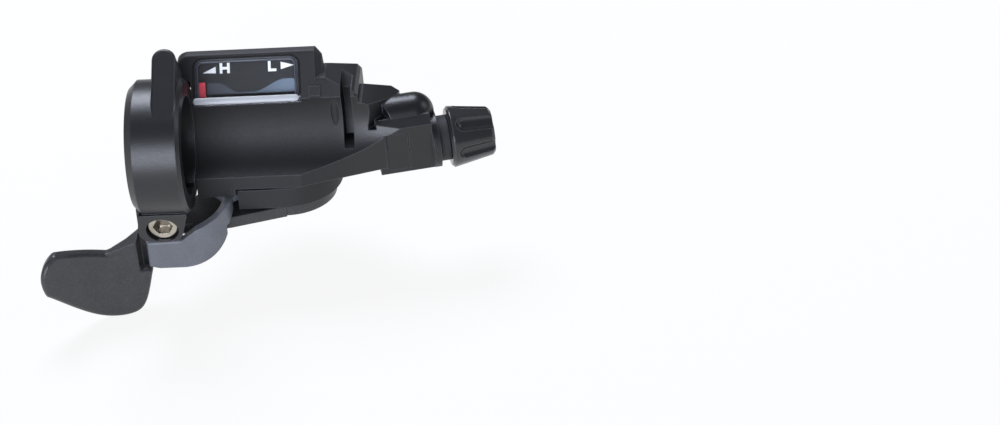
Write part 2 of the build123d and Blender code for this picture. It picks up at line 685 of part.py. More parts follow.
def window_recess():
    """Stepped pocket behind the window, in the window's own frame."""
    lens_seat = block(
        WINDOW_START - SEAT_GAP,
        WINDOW_END + SEAT_GAP,
        -LENS_LIP - SEAT_GAP,
        WINDOW_HEIGHT + SEAT_GAP,
        -LENS_THICKNESS - SEAT_GAP,
        LENS_LIP,
    )
    lens_seat = fillet(lens_seat.edges().filter_by(Axis.Z).group_by(Axis.Y)[-1], LENS_CORNER)
    dial_room = block(
        WINDOW_START + WINDOW_FRAME,
        WINDOW_END - WINDOW_FRAME,
        0,
        WINDOW_HEIGHT - WINDOW_FRAME,
        -DIAL_DEPTH - DIAL_THICKNESS,
        0,
    )
    trench = block(
        WINDOW_START + SEAT_GAP,
        WINDOW_END - SEAT_GAP,
        DIAL_SLOT_Y - TRENCH_HEIGHT / 2,
        DIAL_SLOT_Y + TRENCH_HEIGHT / 2,
        -TRENCH_DEPTH,
        -DIAL_DEPTH,
    )
    return lens_seat + dial_room + trench


# Window pieces
def window_lens():
    """Clear lens with a rounded lower lip."""
    outline = Polyline(
        (-LENS_LIP, -LENS_THICKNESS),
        (-LENS_LIP, 0),
        (WINDOW_HEIGHT, 0),
        (WINDOW_HEIGHT, -LENS_THICKNESS),
        close=True,
    )
    pane = extrude(Plane.YZ * make_face(outline), WINDOW_END - WINDOW_START, dir=(1, 0, 0))
    pane = fillet(pane.edges().filter_by(Axis.Z).group_by(Axis.Y)[-1], LENS_CORNER)
    pane = fillet(pane.edges().filter_by(Axis.X).group_by(Axis.Y)[0].sort_by(Axis.Z)[-1], LENS_LIP)
    return WINDOW_PLANE * Pos(WINDOW_START, 0, 0) * pane


def dial_plate():
    """Dark dial behind the lens, with the slot the needle's stem runs in."""
    plate = block(
        WINDOW_START + WINDOW_FRAME + SEAT_GAP,
        WINDOW_END - WINDOW_FRAME - SEAT_GAP,
        SEAT_GAP,
        WINDOW_HEIGHT - WINDOW_FRAME - SEAT_GAP,
        -DIAL_DEPTH - DIAL_THICKNESS,
        -DIAL_DEPTH,
    )
    half_slot = DIAL_SLOT_WIDTH / 2
    plate -= block(
        WINDOW_START + WINDOW_FRAME + 2 * SEAT_GAP,
        WINDOW_END - WINDOW_FRAME - 2 * SEAT_GAP,
        DIAL_SLOT_Y - half_slot,
        DIAL_SLOT_Y + half_slot,
        -2 * DIAL_DEPTH,
        0,
    )
    return WINDOW_PLANE * plate


def indicator_needle():
    """Red pointer in front of the dial, its stem and the carrier on the rail."""
    half = NEEDLE_WIDTH / 2
    front = -LENS_THICKNESS - STACK_GAP - SEAT_GAP
    bottom = DIAL_SLOT_Y - DIAL_SLOT_WIDTH / 2 - SEAT_GAP
    pointer = block(-half, half, bottom, bottom + NEEDLE_HEIGHT, front - NEEDLE_THICKNESS, front)
    stem_half = DIAL_SLOT_WIDTH / 2 - SEAT_GAP
    stem = block(-half, half, DIAL_SLOT_Y - stem_half, DIAL_SLOT_Y + stem_half, -RAIL_DEPTH, front)
    side = CARRIER_SIZE / 2
    carrier = block(
        -CARRIER_WIDTH / 2,
        CARRIER_WIDTH / 2,
        DIAL_SLOT_Y - side,
        DIAL_SLOT_Y + side,
        -RAIL_DEPTH - side,
        -RAIL_DEPTH + side,
    )
    needle = pointer + stem + carrier
    needle -= rod_x(RAIL_RADIUS + RUNNING_FIT, -CARRIER_WIDTH, CARRIER_WIDTH, DIAL_SLOT_Y, -RAIL_DEPTH)
    return WINDOW_PLANE * Pos(NEEDLE_X, 0, 0) * needle


def needle_rail():
    """Wire that the needle's carrier slides on."""
    rail = rod_x(
        RAIL_RADIUS,
        WINDOW_START - RAIL_BITE,
        WINDOW_END + RAIL_BITE,
        DIAL_SLOT_Y,
        -RAIL_DEPTH,
    )
    return WINDOW_PLANE * rail


# Base plate, cover and axle
def ears(z0, z1):
    """Screw ears round the cover, joined to it by straight necks."""
    made = None
    for angle in EAR_ANGLES:
        x, y = polar(EAR_CENTRE, angle)
        neck = block(COVER_RADIUS - COVER_WALL, EAR_CENTRE, -EAR_RADIUS, EAR_RADIUS, z0, z1)
        ear = rod(EAR_RADIUS, z0, z1, x, y) + PIVOT * Rot(0, 0, angle) * neck
        made = ear if made is None else made + ear
    return made


def ear_holes(solid):
    """Cuts the cover screws' holes."""
    for angle in EAR_ANGLES:
        x, y = polar(EAR_CENTRE, angle)
        solid -= rod(COVER_SCREW_RADIUS + SEAT_GAP, COVER_BOTTOM, RIM_Z, x, y)
    return solid


def release_sector(radius, z0, z1):
    """Room that the release lever's arm sweeps, with a gap on both sides."""
    half = RELEASE_ARM_WIDTH / 2 + 2 * SWING_GAP
    room = None
    for angle in (RELEASE_ANGLE, RELEASE_ANGLE - RELEASE_SWING):
        arm = PIVOT * Rot(0, 0, angle) * block(0, radius, -half, half, z0, z1)
        room = arm if room is None else room + arm
    return room


def base_plate():
    """Steel plate under the housing that carries the holding pawl."""
    plate = PIVOT * rod(COVER_RADIUS, PLATE_BOTTOM, RIM_Z) + ears(PLATE_BOTTOM, RIM_Z)
    plate -= PIVOT * rod(SPOOL_HUB_RADIUS + STACK_GAP, PLATE_BOTTOM, RIM_Z)
    x, y = polar(PAWL_PIVOT, HOLD_ANGLE)
    plate -= rod(PIN_RADIUS + PIN_FIT, PLATE_BOTTOM, RIM_Z, x, y)
    return ear_holes(plate)


def lower_cover():
    """Skirt under the base plate, square at its near corner, with the release lever's slot."""
    wall = PIVOT * rod(COVER_RADIUS, COVER_BOTTOM, PLATE_BOTTOM)
    near_y = PIVOT_Y - COVER_RADIUS
    wall += block(COVER_CORNER_X, PIVOT_X, near_y, PIVOT_Y, COVER_BOTTOM, PLATE_BOTTOM)
    wall = chamfer(wall.edges().group_by(Axis.Z)[0], COVER_WALL / 3)
    wall += ears(PLATE_BOTTOM - COVER_EAR_HEIGHT, PLATE_BOTTOM)
    wall -= PIVOT * rod(COVER_RADIUS - COVER_WALL, COVER_BOTTOM, PLATE_BOTTOM)
    wall -= release_sector(2 * COVER_RADIUS, RELEASE_BASE - 2 * STACK_GAP, PLATE_BOTTOM)
    return ear_holes(wall)


def cover_screws():
    """Screws from below through cover and plate into the housing."""
    screws = []
    top = RIM_Z + COVER_SCREW_LENGTH - STACK_GAP
    seat = PLATE_BOTTOM - COVER_EAR_HEIGHT
    for angle in EAR_ANGLES:
        x, y = polar(EAR_CENTRE, angle)
        screw = rod(COVER_SCREW_RADIUS, seat, top, x, y)
        screw += rod(COVER_SCREW_HEAD, seat - COVER_SCREW_HEAD_HEIGHT, seat, x, y)
        screw -= rod(COVER_SCREW_SOCKET, seat - COVER_SCREW_HEAD_HEIGHT, seat, x, y)
        screws.append(screw)
    return screws


def pivot_axle():
    """Headed axle that the spool and both levers turn on."""
    axle = rod(AXLE_RADIUS, AXLE_END, CEILING_Z)
    axle += rod(AXLE_HEAD_RADIUS, CEILING_Z, CEILING_Z + AXLE_HEAD_HEIGHT)
    return PIVOT * axle


def axle_washer():
    """Washer under the main lever."""
    washer = rod(WASHER_RADIUS, AXLE_NUT_TOP, WASHER_TOP)
    washer -= rod(AXLE_RADIUS + RUNNING_FIT, AXLE_NUT_TOP, WASHER_TOP)
    return PIVOT * washer


def axle_nut():
    """Hexagon nut that closes the axle."""
    nut = Pos(0, 0, AXLE_END) * extrude(RegularPolygon(AXLE_NUT_WIDTH / math.sqrt(3), 6), AXLE_NUT_HEIGHT)
    nut -= rod(AXLE_RADIUS + PIN_FIT, AXLE_END, AXLE_NUT_TOP)
    return PIVOT * nut


# Spool, ratchet and pawls
def cable_spool():
    """Grooved spool with a hub that passes through the base plate."""
    spool = rod(SPOOL_RADIUS, SPOOL_BASE, SPOOL_TOP_Z)
    groove_depth = SPOOL_RADIUS - GROOVE_RADIUS + CABLE_RADIUS
    ring = rod(SPOOL_RADIUS, GROOVE_Z - CABLE_RADIUS, GROOVE_Z + CABLE_RADIUS)
    spool -= ring - rod(SPOOL_RADIUS - groove_depth, GROOVE_Z - CABLE_RADIUS, GROOVE_Z + CABLE_RADIUS)
    spool += rod(SPOOL_HUB_RADIUS, RATCHET_TOP, SPOOL_BASE)
    spool += rod(RATCHET_SEAT_RADIUS, RATCHET_BOTTOM, RATCHET_TOP)
    spool -= rod(AXLE_RADIUS + RUNNING_FIT, RATCHET_BOTTOM, SPOOL_TOP_Z)
    nipple = Rot(0, 0, NIPPLE_ANGLE) * Pos(SPOOL_RADIUS - NIPPLE_RADIUS - NIPPLE_INSET, 0, GROOVE_Z)
    spool -= nipple * Cylinder(NIPPLE_RADIUS, SPOOL_HEIGHT, align=LOW)
    return PIVOT * spool


def index_ratchet():
    """Toothed plate on the spool's hub."""
    points = []
    for tooth in range(TOOTH_COUNT):
        start = tooth * 360 / TOOTH_COUNT
        points.append(polar(TOOTH_ROOT, start))
        points.append(polar(TOOTH_TIP, start + TOOTH_LEAN))
    plate = plan_prism(points, RATCHET_BOTTOM, RATCHET_TOP)
    plate -= PIVOT * rod(RATCHET_SEAT_RADIUS + PIN_FIT, RATCHET_BOTTOM, RATCHET_TOP)
    return plate


def spool_return_spring():
    """Flat spiral spring above the spool, made of half turns."""
    strip = None
    for half_turn in range(SPIRAL_HALF_TURNS):
        side = 1 if half_turn % 2 == 0 else -1
        inner = SPIRAL_INNER + half_turn * SPIRAL_PITCH / 2
        centre = side * SPIRAL_PITCH / 4
        ring = Pos(centre, 0, 0) * (Circle(inner + SPIRAL_THICKNESS) - Circle(inner))
        keep = Pos(0, side * SPOOL_RADIUS, 0) * Rectangle(4 * SPOOL_RADIUS, 2 * SPOOL_RADIUS)
        part = ring & keep
        strip = part if strip is None else strip + part
    spring = Pos(0, 0, SPOOL_TOP_Z + STACK_GAP) * extrude(strip, SPIRAL_HEIGHT)
    return PIVOT * spring


def pawl(pivot_angle, nose_angle):
    """Pawl from its eye to a nose that rides just clear of the tooth tips."""
    eye = polar(PAWL_PIVOT, pivot_angle)
    nose = polar(TOOTH_TIP + PAWL_CLEAR, nose_angle)
    back = polar(TOOTH_TIP + PAWL_CLEAR + PAWL_WIDTH, nose_angle)
    lean = math.copysign(PAWL_HEEL_LEAN, pivot_angle - nose_angle)
    heel = polar(TOOTH_TIP + PAWL_CLEAR + PAWL_HEEL, nose_angle + lean)
    inner = polar(PAWL_PIVOT - PAWL_NECK, pivot_angle)
    outer = polar(PAWL_PIVOT + PAWL_NECK, pivot_angle)
    arm = plan_prism([inner, heel, nose, back, outer], RATCHET_BOTTOM, RATCHET_TOP)
    body = arm + rod(PAWL_EYE, RATCHET_BOTTOM, RATCHET_TOP, *eye)
    body -= rod(PIN_RADIUS + RUNNING_FIT, RATCHET_BOTTOM, RATCHET_TOP, *eye)
    return body


def holding_pawl():
    """Pawl on the base plate that keeps the spool in its gear."""
    return pawl(HOLD_ANGLE, HOLD_NOSE_ANGLE)


def drive_pawl():
    """Pawl on the main lever that winds the spool."""
    return pawl(DRIVE_ANGLE, DRIVE_NOSE_ANGLE)


def holding_pawl_pin():
    """Pin in the base plate, long enough to carry the pawl's spring."""
    pin = rod(PIN_RADIUS, RATCHET_BOTTOM - PAWL_SPRING_HEIGHT - STACK_GAP, RIM_Z)
    x, y = polar(PAWL_PIVOT, HOLD_ANGLE)
    return Pos(x, y, 0) * pin


def drive_pawl_pin():
    """Pin in the main lever's hub."""
    pin = rod(PIN_RADIUS, LEVER_BASE, RATCHET_TOP)
    x, y = polar(PAWL_PIVOT, DRIVE_ANGLE)
    return Pos(x, y, 0) * pin


def coil(radius, z0, z1, turns):
    """Coil of round wire about a vertical axis, its ends cut square."""
    height = z1 - z0 - 2 * WIRE_RADIUS
    path = Helix(height / turns, height, radius)
    start = Plane(origin=path @ 0, z_dir=path % 0)
    wire = sweep(start * Circle(WIRE_RADIUS), path, is_frenet=True)
    return Pos(0, 0, z0 + WIRE_RADIUS) * wire


def release_lever_spring():
    """Return coil between the release lever and the main lever."""
    low = LEVER_TOP_Z + STACK_GAP
    return PIVOT * coil(RELEASE_SPRING_RADIUS, low, RELEASE_BASE - STACK_GAP / 2, LEVER_SPRING_TURNS)


def main_lever_spring():
    """Return coil of the main lever, outside the release spring."""
    low = LEVER_TOP_Z + STACK_GAP / 2
    return PIVOT * coil(MAIN_SPRING_RADIUS, low, RELEASE_BASE - STACK_GAP, LEVER_SPRING_TURNS)


def pawl_spring(angle):
    """Small coil round a pawl's pin, just under the pawl."""
    x, y = polar(PAWL_PIVOT, angle)
    top = RATCHET_BOTTOM - STACK_GAP / 2
    radius = PIN_RADIUS + WIRE_RADIUS + STACK_GAP / 4
    return Pos(x, y, 0) * coil(radius, top - PAWL_SPRING_HEIGHT, top, PAWL_SPRING_TURNS)


def holding_pawl_spring():
    """Spring of the holding pawl."""
    return pawl_spring(HOLD_ANGLE)


def drive_pawl_spring():
    """Spring of the drive pawl."""
    return pawl_spring(DRIVE_ANGLE)


# Levers
def release_lever():
    """Ring on the axle, an arm through the cover and a curved pad under the lug."""
    ring = PIVOT * rod(RELEASE_RING, RELEASE_BASE, RELEASE_TOP)
    half = RELEASE_ARM_WIDTH / 2
    swung = PIVOT * Rot(0, 0, RELEASE_ANGLE)
    arm = swung * block(0, RELEASE_ARM_REACH, -half, half, RELEASE_BASE, RELEASE_TOP)
    wall_top = RELEASE_TOP + RELEASE_RISE
    pad_back = PAD_FRONT + RELEASE_WALL
    straight = block(PAD_LEFT, PAD_BEND_X, PAD_FRONT, pad_back, RELEASE_BOTTOM, wall_top)
    bend = rod(PAD_BEND_RADIUS, RELEASE_BOTTOM, wall_top, PAD_BEND_X, PAD_BEND_Y)
    bend -= rod(PAD_BEND_RADIUS - RELEASE_WALL, RELEASE_BOTTOM, wall_top, PAD_BEND_X, PAD_BEND_Y)
    tail_y = PAD_BEND_Y + PAD_TAIL
    bend &= block(PAD_BEND_X, THROUGH, PAD_FRONT, tail_y, RELEASE_BOTTOM, wall_top)
    wall = straight + bend
    outline = Curve() + [
        Polyline(*PAD_UPPER),
        Spline(PAD_UPPER[-1], *PAD_LOWER, PAD_UPPER[0]),
    ]
    wall &= front_prism(outline, -THROUGH, THROUGH)
    wall -= block(PAD_BEND_X, THROUGH, PAD_HEEL, THROUGH, RELEASE_BOTTOM, LEVER_TOP_Z + STACK_GAP)
    lever = ring + arm + wall
    front = lever.edges().filter_by(lambda edge: edge.center().Y < PAD_FRONT + SEAT_GAP)
    lever = fillet(front.filter_by(lambda edge: edge.center().Z < LEVER_TOP_Z), PAD_EDGE)
    lever -= PIVOT * rod(AXLE_RADIUS + RUNNING_FIT, RELEASE_BASE, RELEASE_TOP)
    return lever


def main_lever():
    """Hub disc, web arm and the concave thumb paddle."""
    hub = PIVOT * rod(HUB_RADIUS, LEVER_BASE, LEVER_TOP_Z)
    near_hub = polar(HUB_RADIUS, WEB_NEAR_ANGLE)
    far_hub = polar(HUB_RADIUS, WEB_FAR_ANGLE)
    web = plan_prism([near_hub, *WEB_NEAR, *WEB_FAR, far_hub], LEVER_BASE - KNEE_DROP, LEVER_TOP_Z)
    bend = Polyline(
        (PIVOT_X, LEVER_TOP_Z),
        (KNEE_START, LEVER_TOP_Z),
        (KNEE_END, LEVER_TOP_Z - KNEE_DROP),
        (KNEE_END, LEVER_BASE - KNEE_DROP),
        (KNEE_START, LEVER_BASE),
        (PIVOT_X, LEVER_BASE),
        close=True,
    )
    web &= front_prism(bend, -THROUGH, THROUGH)
    pocket_far = POCKET_BACK + POCKET_WALL
    wall_left = PADDLE_RIGHT - POCKET_WALL
    side_wall = block(
        wall_left, PADDLE_RIGHT, POCKET_FRONT, pocket_far, POCKET_BACK_BOTTOM, LEVER_BASE
    )
    back_wall = block(
        PADDLE_RIGHT, POCKET_WALL_END, POCKET_BACK, pocket_far, POCKET_BACK_BOTTOM, LEVER_BASE
    )
    plate = rod(PADDLE_RADIUS + PADDLE_THICKNESS, -THROUGH, 0, *PADDLE_CENTRE)
    plate -= rod(PADDLE_RADIUS, -THROUGH, 0, *PADDLE_CENTRE)
    outline = Curve() + [
        Polyline(*PADDLE_UPPER),
        Spline(PADDLE_UPPER[-1], *PADDLE_TIP),
        Spline(PADDLE_TIP[-1], *PADDLE_LOWER, PADDLE_UPPER[0]),
    ]
    plate &= front_prism(outline, PADDLE_CENTRE[1], THROUGH)
    plate = fillet(plate.edges(), PADDLE_EDGE)
    lever = hub + web + plate + side_wall + back_wall
    lever -= PIVOT * rod(AXLE_RADIUS + RUNNING_FIT, LEVER_BASE, LEVER_TOP_Z)
    x, y = polar(PAWL_PIVOT, DRIVE_ANGLE)
    lever -= rod(PIN_RADIUS + PIN_FIT, LEVER_BASE, LEVER_TOP_Z, x, y)
    return lever


# Cable outlet and barrel adjuster
def cable_door_form(gap):
    """Space of the port cover in the box's near face, grown by a gap."""
    start = BOX_START + DOOR_START
    return cable_box(
        start - gap,
        start + DOOR_LENGTH + gap,
        -BOX_HALF_WIDTH,
        -BOX_HALF_WIDTH + DOOR_THICKNESS + gap,
        BOX_BOTTOM + DOOR_LIFT - gap,
        BOX_BOTTOM + DOOR_LIFT + DOOR_HEIGHT + gap,
    )


def cable_port_cover():
    """Flush cover over the cable port."""
    return cable_door_form(0)


def adjuster_collar():
    """Thin ring between the adjuster and the housing."""
    collar = cable_rod(COLLAR_RADIUS, COLLAR_START, COLLAR_START + COLLAR_THICKNESS)
    return collar - cable_rod(STUD_RADIUS + RUNNING_FIT, COLLAR_START, COLLAR_START + COLLAR_THICKNESS)


def barrel_adjuster():
    """Fluted, tapered knob on a stud, bored for the cable."""
    turned = CABLE_PLANE * Rot(0, 90, 0)
    knob_end = KNOB_START + KNOB_LENGTH
    profile = Polyline(
        (0, KNOB_START),
        (KNOB_INNER_RADIUS - KNOB_EDGE, KNOB_START),
        (KNOB_INNER_RADIUS, KNOB_START + KNOB_EDGE),
        (KNOB_OUTER_RADIUS, knob_end - KNOB_EDGE),
        (KNOB_OUTER_RADIUS - KNOB_EDGE, knob_end),
        (0, knob_end),
        close=True,
    )
    knob = revolve(Plane.XZ * make_face(profile), Axis.Z)
    slope = math.degrees(math.atan2(KNOB_INNER_RADIUS - KNOB_OUTER_RADIUS, KNOB_LENGTH))
    flute = Pos(KNOB_INNER_RADIUS + FLUTE_OUT, 0, KNOB_START + FLUTE_START) * Rot(0, -slope, 0)
    cutter = flute * (Cylinder(FLUTE_RADIUS, KNOB_LENGTH, align=LOW) + Sphere(FLUTE_RADIUS))
    for index in range(KNOB_FLUTES):
        knob -= Rot(0, 0, FLUTE_TURN + index * 360 / KNOB_FLUTES) * cutter
    stud = rod(STUD_RADIUS, FLANGE_END - STUD_LENGTH, KNOB_START)
    piece = knob + stud
    piece -= rod(CABLE_BORE_RADIUS, FLANGE_END - STUD_LENGTH, knob_end)
    piece -= rod(OUTLET_RADIUS, knob_end - OUTLET_DEPTH, knob_end)
    return turned * piece


PIECES = {
    "clamp_band": clamp_band,
    "clamp_bolt": clamp_bolt,
    "clamp_nut": clamp_nut,
    "band_screws": band_screws,
    "upper_housing": upper_housing,
    "window_lens": window_lens,
    "dial_plate": dial_plate,
    "indicator_needle": indicator_needle,
    "needle_rail": needle_rail,
    "base_plate": base_plate,
    "lower_cover": lower_cover,
    "cover_screws": cover_screws,
    "pivot_axle": pivot_axle,
    "axle_washer": axle_washer,
    "axle_nut": axle_nut,
    "cable_spool": cable_spool,
    "index_ratchet": index_ratchet,
    "spool_return_spring": spool_return_spring,
    "holding_pawl": holding_pawl,
    "holding_pawl_pin": holding_pawl_pin,
    "holding_pawl_spring": holding_pawl_spring,
    "drive_pawl": drive_pawl,
    "drive_pawl_pin": drive_pawl_pin,
    "drive_pawl_spring": drive_pawl_spring,
    "release_lever": release_lever,
    "release_lever_spring": release_lever_spring,
    "main_lever": main_lever,
    "main_lever_spring": main_lever_spring,
    "cable_port_cover": cable_port_cover,
    "adjuster_collar": adjuster_collar,
    "barrel_adjuster": barrel_adjuster,
}

os.makedirs("parts", exist_ok=True)
for name, make in PIECES.items():
    made = make()
    solids = made if isinstance(made, list) else [made]
    found = [solid for piece in solids for solid in piece.solids()]
    piece = Compound(children=found) if len(found) > 1 else found[0]
    export_step(piece, f"parts/{name}.step")
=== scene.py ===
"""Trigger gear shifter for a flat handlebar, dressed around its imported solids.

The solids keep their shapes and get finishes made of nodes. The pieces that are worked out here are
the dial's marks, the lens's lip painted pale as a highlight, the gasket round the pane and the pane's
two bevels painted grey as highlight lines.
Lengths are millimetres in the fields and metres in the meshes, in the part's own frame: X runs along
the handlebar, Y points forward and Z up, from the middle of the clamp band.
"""
import logging
import math
from dataclasses import dataclass
from enum import Enum
from typing import Any

import bpy
import numpy as np
from mathutils import Matrix, Vector
from numpy.typing import ArrayLike


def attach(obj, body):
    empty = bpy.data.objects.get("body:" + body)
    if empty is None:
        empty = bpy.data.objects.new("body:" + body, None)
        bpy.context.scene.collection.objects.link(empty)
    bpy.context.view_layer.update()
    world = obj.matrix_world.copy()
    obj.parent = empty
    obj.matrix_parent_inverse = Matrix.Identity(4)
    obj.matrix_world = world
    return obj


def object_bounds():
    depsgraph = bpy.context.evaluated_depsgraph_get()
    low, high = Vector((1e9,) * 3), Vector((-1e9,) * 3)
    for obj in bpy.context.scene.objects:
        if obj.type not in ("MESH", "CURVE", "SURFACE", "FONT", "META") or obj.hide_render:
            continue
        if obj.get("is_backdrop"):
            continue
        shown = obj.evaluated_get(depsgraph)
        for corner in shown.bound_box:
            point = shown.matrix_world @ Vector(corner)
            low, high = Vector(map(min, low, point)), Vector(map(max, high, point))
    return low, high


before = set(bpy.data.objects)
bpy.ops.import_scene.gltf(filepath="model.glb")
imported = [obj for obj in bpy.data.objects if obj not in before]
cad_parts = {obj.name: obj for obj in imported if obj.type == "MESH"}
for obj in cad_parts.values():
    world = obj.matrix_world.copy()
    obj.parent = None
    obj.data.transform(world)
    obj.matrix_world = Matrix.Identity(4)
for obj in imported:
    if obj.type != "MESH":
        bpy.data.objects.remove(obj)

MM = 0.001
LOG = logging.getLogger("shifter")
# Faces that meet at more than this keep a sharp edge between them.
SHARP_ANGLE = math.radians(40)
# Cosines between the rounded and the true normal at which the painted edge highlight starts to show and is
# full.
EDGE_SPAN = (0.99, 0.85)
# Heights of the grain between which its tips get a painted glint, and how much paler the glint makes them.
GLINT_SPAN = (0.5, 0.85)
GLINT_LIFT = 2.0
# Values of the cloud between which a stain goes from none to full.
STAIN_SPAN = (0.42, 0.68)
# The wave texture turns through this many radians in one unit of its scale.
WAVE_RADIANS = 20
WHITE = (1.0, 1.0, 1.0, 1.0)


class Body(str, Enum):
    """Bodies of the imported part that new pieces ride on."""

    HOUSING = "housing"


class MetalMake(Enum):
    """How a metal part was made, which sets the marks on its surface."""

    TURNED = "turned"
    STAMPED = "stamped"
    DRAWN = "drawn"


def linear(code: str) -> tuple[float, float, float, float]:
    """Turns an sRGB hex colour into linear values.

    Args:
        code: Six hex digits after a hash.

    Returns:
        Red, green, blue and an alpha of 1.
    """
    srgb = np.array([int(code[i : i + 2], 16) for i in (1, 3, 5)]) / 255
    rgb = np.where(srgb <= 0.04045, srgb / 12.92, ((srgb + 0.055) / 1.055) ** 2.4)
    return (*rgb.tolist(), 1.0)


def add_node(
    tree: bpy.types.NodeTree, kind: str, inputs: dict[str | int, Any] | None = None, **settings: Any
) -> bpy.types.Node:
    """Adds a node with its settings and links.

    Args:
        tree: The node tree.
        kind: Blender's name for the node.
        inputs: Input name or number to a value, or to the output that feeds it.
        settings: The node's own properties.

    Returns:
        The new node.
    """
    node = tree.nodes.new(kind)
    for name, value in settings.items():
        setattr(node, name, value)
    for name, value in (inputs or {}).items():
        if isinstance(value, bpy.types.NodeSocket):
            tree.links.new(value, node.inputs[name])
        else:
            node.inputs[name].default_value = value
    return node


def new_material(name: str) -> tuple[bpy.types.Material, bpy.types.NodeTree]:
    """Makes an empty node material.

    Args:
        name: The material's name.

    Returns:
        The material and its cleared node tree.
    """
    material = bpy.data.materials.new(name)
    material.use_nodes = True
    material.node_tree.nodes.clear()
    return material, material.node_tree


def per_metre(size_mm: float) -> float:
    """Scale of a texture whose features are this many millimetres across."""
    return 1 / (size_mm * MM)


# Finishes


@dataclass(frozen=True)
class GrainedFinish:
    """Plastic, rubber, paint or ink: a fine grain, a cloudy colour and softened edges with a painted
    highlight.

    The grain is drawn coarser than a mould's real one of about 0.1 mm, so that it shows.
    """

    name: str
    colour: str
    roughness: float
    ior: float = 1.53
    grain_mm: float = 0.55
    grain_depth_mm: float = 0.012
    cloud_mm: float = 7.0
    cloud: float = 0.18
    shine_spread: float = 0.07
    edge_mm: float = 0.35
    # How much lighter the painted highlight along edges makes the colour, 1 for twice as light.
    edge_highlight_lift: float = 0.5
    # Strength of the painted glints on the grain's tips, 0 for none.
    tip_glint: float = 0.0
    far_colour: str | None = None
    far_roughness: float | None = None
    fade_mm: tuple[float, float] = (0.0, 1.0)
    fade_axis: tuple[float, float, float] = (1.0, 0.0, 0.0)

    def material(self) -> bpy.types.Material:
        """Builds the node material.

        Returns:
            The finish as a material on Object coordinates.
        """
        material, tree = new_material(self.name)
        place = add_node(tree, "ShaderNodeTexCoord").outputs["Object"]
        cloud = add_node(
            tree, "ShaderNodeTexNoise", {"Vector": place, "Scale": per_metre(self.cloud_mm), "Detail": 4.0}
        )
        grain = add_node(
            tree, "ShaderNodeTexNoise", {"Vector": place, "Scale": per_metre(self.grain_mm), "Detail": 2.0}
        )
        edge = self.edge_mask(tree)
        base = np.array(linear(self.colour)[:3])
        dark = (*(base * (1 - self.cloud)).tolist(), 1.0)
        light = (*(base * (1 + self.cloud)).tolist(), 1.0)
        clouded = add_node(
            tree, "ShaderNodeMix", {"Factor": cloud.outputs["Fac"], "A": dark, "B": light}, data_type="RGBA"
        )
        # Painted highlight: the edges get a lighter copy of the colour.
        edge_lit = add_node(
            tree,
            "ShaderNodeMix",
            {"Factor": edge, "A": self.glinted(tree, clouded, grain), "B": self.lifted(self.edge_highlight_lift)},
            data_type="RGBA",
        )
        shine = add_node(
            tree,
            "ShaderNodeMapRange",
            {
                "Value": grain.outputs["Fac"],
                "To Min": self.roughness - self.shine_spread,
                "To Max": self.roughness + self.shine_spread,
            },
        )
        if self.far_roughness is not None:
            shine = add_node(
                tree,
                "ShaderNodeMix",
                {
                    "Factor": self.share_along(tree, place),
                    "A": shine.outputs["Result"],
                    "B": self.far_roughness,
                },
            )
        soft = add_node(tree, "ShaderNodeBevel", {"Radius": self.edge_mm * MM}, samples=4)
        bump = add_node(
            tree,
            "ShaderNodeBump",
            {
                "Distance": self.grain_depth_mm * MM,
                "Height": grain.outputs["Fac"],
                "Normal": soft.outputs["Normal"],
            },
        )
        shader = add_node(
            tree,
            "ShaderNodeBsdfPrincipled",
            {
                "Base Color": self.faded(tree, place, edge_lit),
                "Roughness": shine.outputs["Result"],
                "IOR": self.ior,
                "Normal": bump.outputs["Normal"],
            },
        )
        add_node(tree, "ShaderNodeOutputMaterial", {"Surface": shader.outputs["BSDF"]})
        return material

    def lifted(self, share: float) -> tuple[float, float, float, float]:
        """The colour made lighter by a share of itself.

        Args:
            share: How much lighter, 1 for twice as light.

        Returns:
            The linear colour.
        """
        red, green, blue, _ = linear(self.colour)
        return (red * (1 + share), green * (1 + share), blue * (1 + share), 1.0)

    def glinted(
        self, tree: bpy.types.NodeTree, clouded: bpy.types.Node, grain: bpy.types.Node
    ) -> bpy.types.NodeSocket:
        """Paints pale glints of light on the tips of the grain.

        Args:
            tree: The material's node tree.
            clouded: The node with the cloudy colour.
            grain: The node with the grain.

        Returns:
            The colour with its painted glints.
        """
        if not self.tip_glint:
            return clouded.outputs["Result"]
        low, high = GLINT_SPAN
        tips = add_node(
            tree,
            "ShaderNodeMapRange",
            {"Value": grain.outputs["Fac"], "From Min": low, "From Max": high, "To Max": self.tip_glint},
        )
        mixed = add_node(
            tree,
            "ShaderNodeMix",
            {"Factor": tips.outputs["Result"], "A": clouded.outputs["Result"], "B": self.lifted(GLINT_LIFT)},
            data_type="RGBA",
        )
        return mixed.outputs["Result"]

    def faded(
        self, tree: bpy.types.NodeTree, place: bpy.types.NodeSocket, edge_lit: bpy.types.Node
    ) -> bpy.types.NodeSocket:
        """Runs the colour over into the far colour along the fade's axis.

        Args:
            tree: The material's node tree.
            place: Object coordinates.
            edge_lit: The node with the near colour and its painted edge highlight.

        Returns:
            The colour.
        """
        if self.far_colour is None:
            return edge_lit.outputs["Result"]
        mixed = add_node(
            tree,
            "ShaderNodeMix",
            {
                "Factor": self.share_along(tree, place),
                "A": edge_lit.outputs["Result"],
                "B": linear(self.far_colour),
            },
            data_type="RGBA",
        )
        return mixed.outputs["Result"]

    def share_along(self, tree: bpy.types.NodeTree, place: bpy.types.NodeSocket) -> bpy.types.NodeSocket:
        """How far along the fade's axis a point lies between its two ends.

        Args:
            tree: The material's node tree.
            place: Object coordinates.

        Returns:
            An output from 0 to 1.
        """
        along = add_node(tree, "ShaderNodeVectorMath", {0: place, 1: self.fade_axis}, operation="DOT_PRODUCT")
        low, high = self.fade_mm
        share = add_node(
            tree,
            "ShaderNodeMapRange",
            {"Value": along.outputs["Value"], "From Min": low * MM, "From Max": high * MM},
        )
        return share.outputs["Result"]

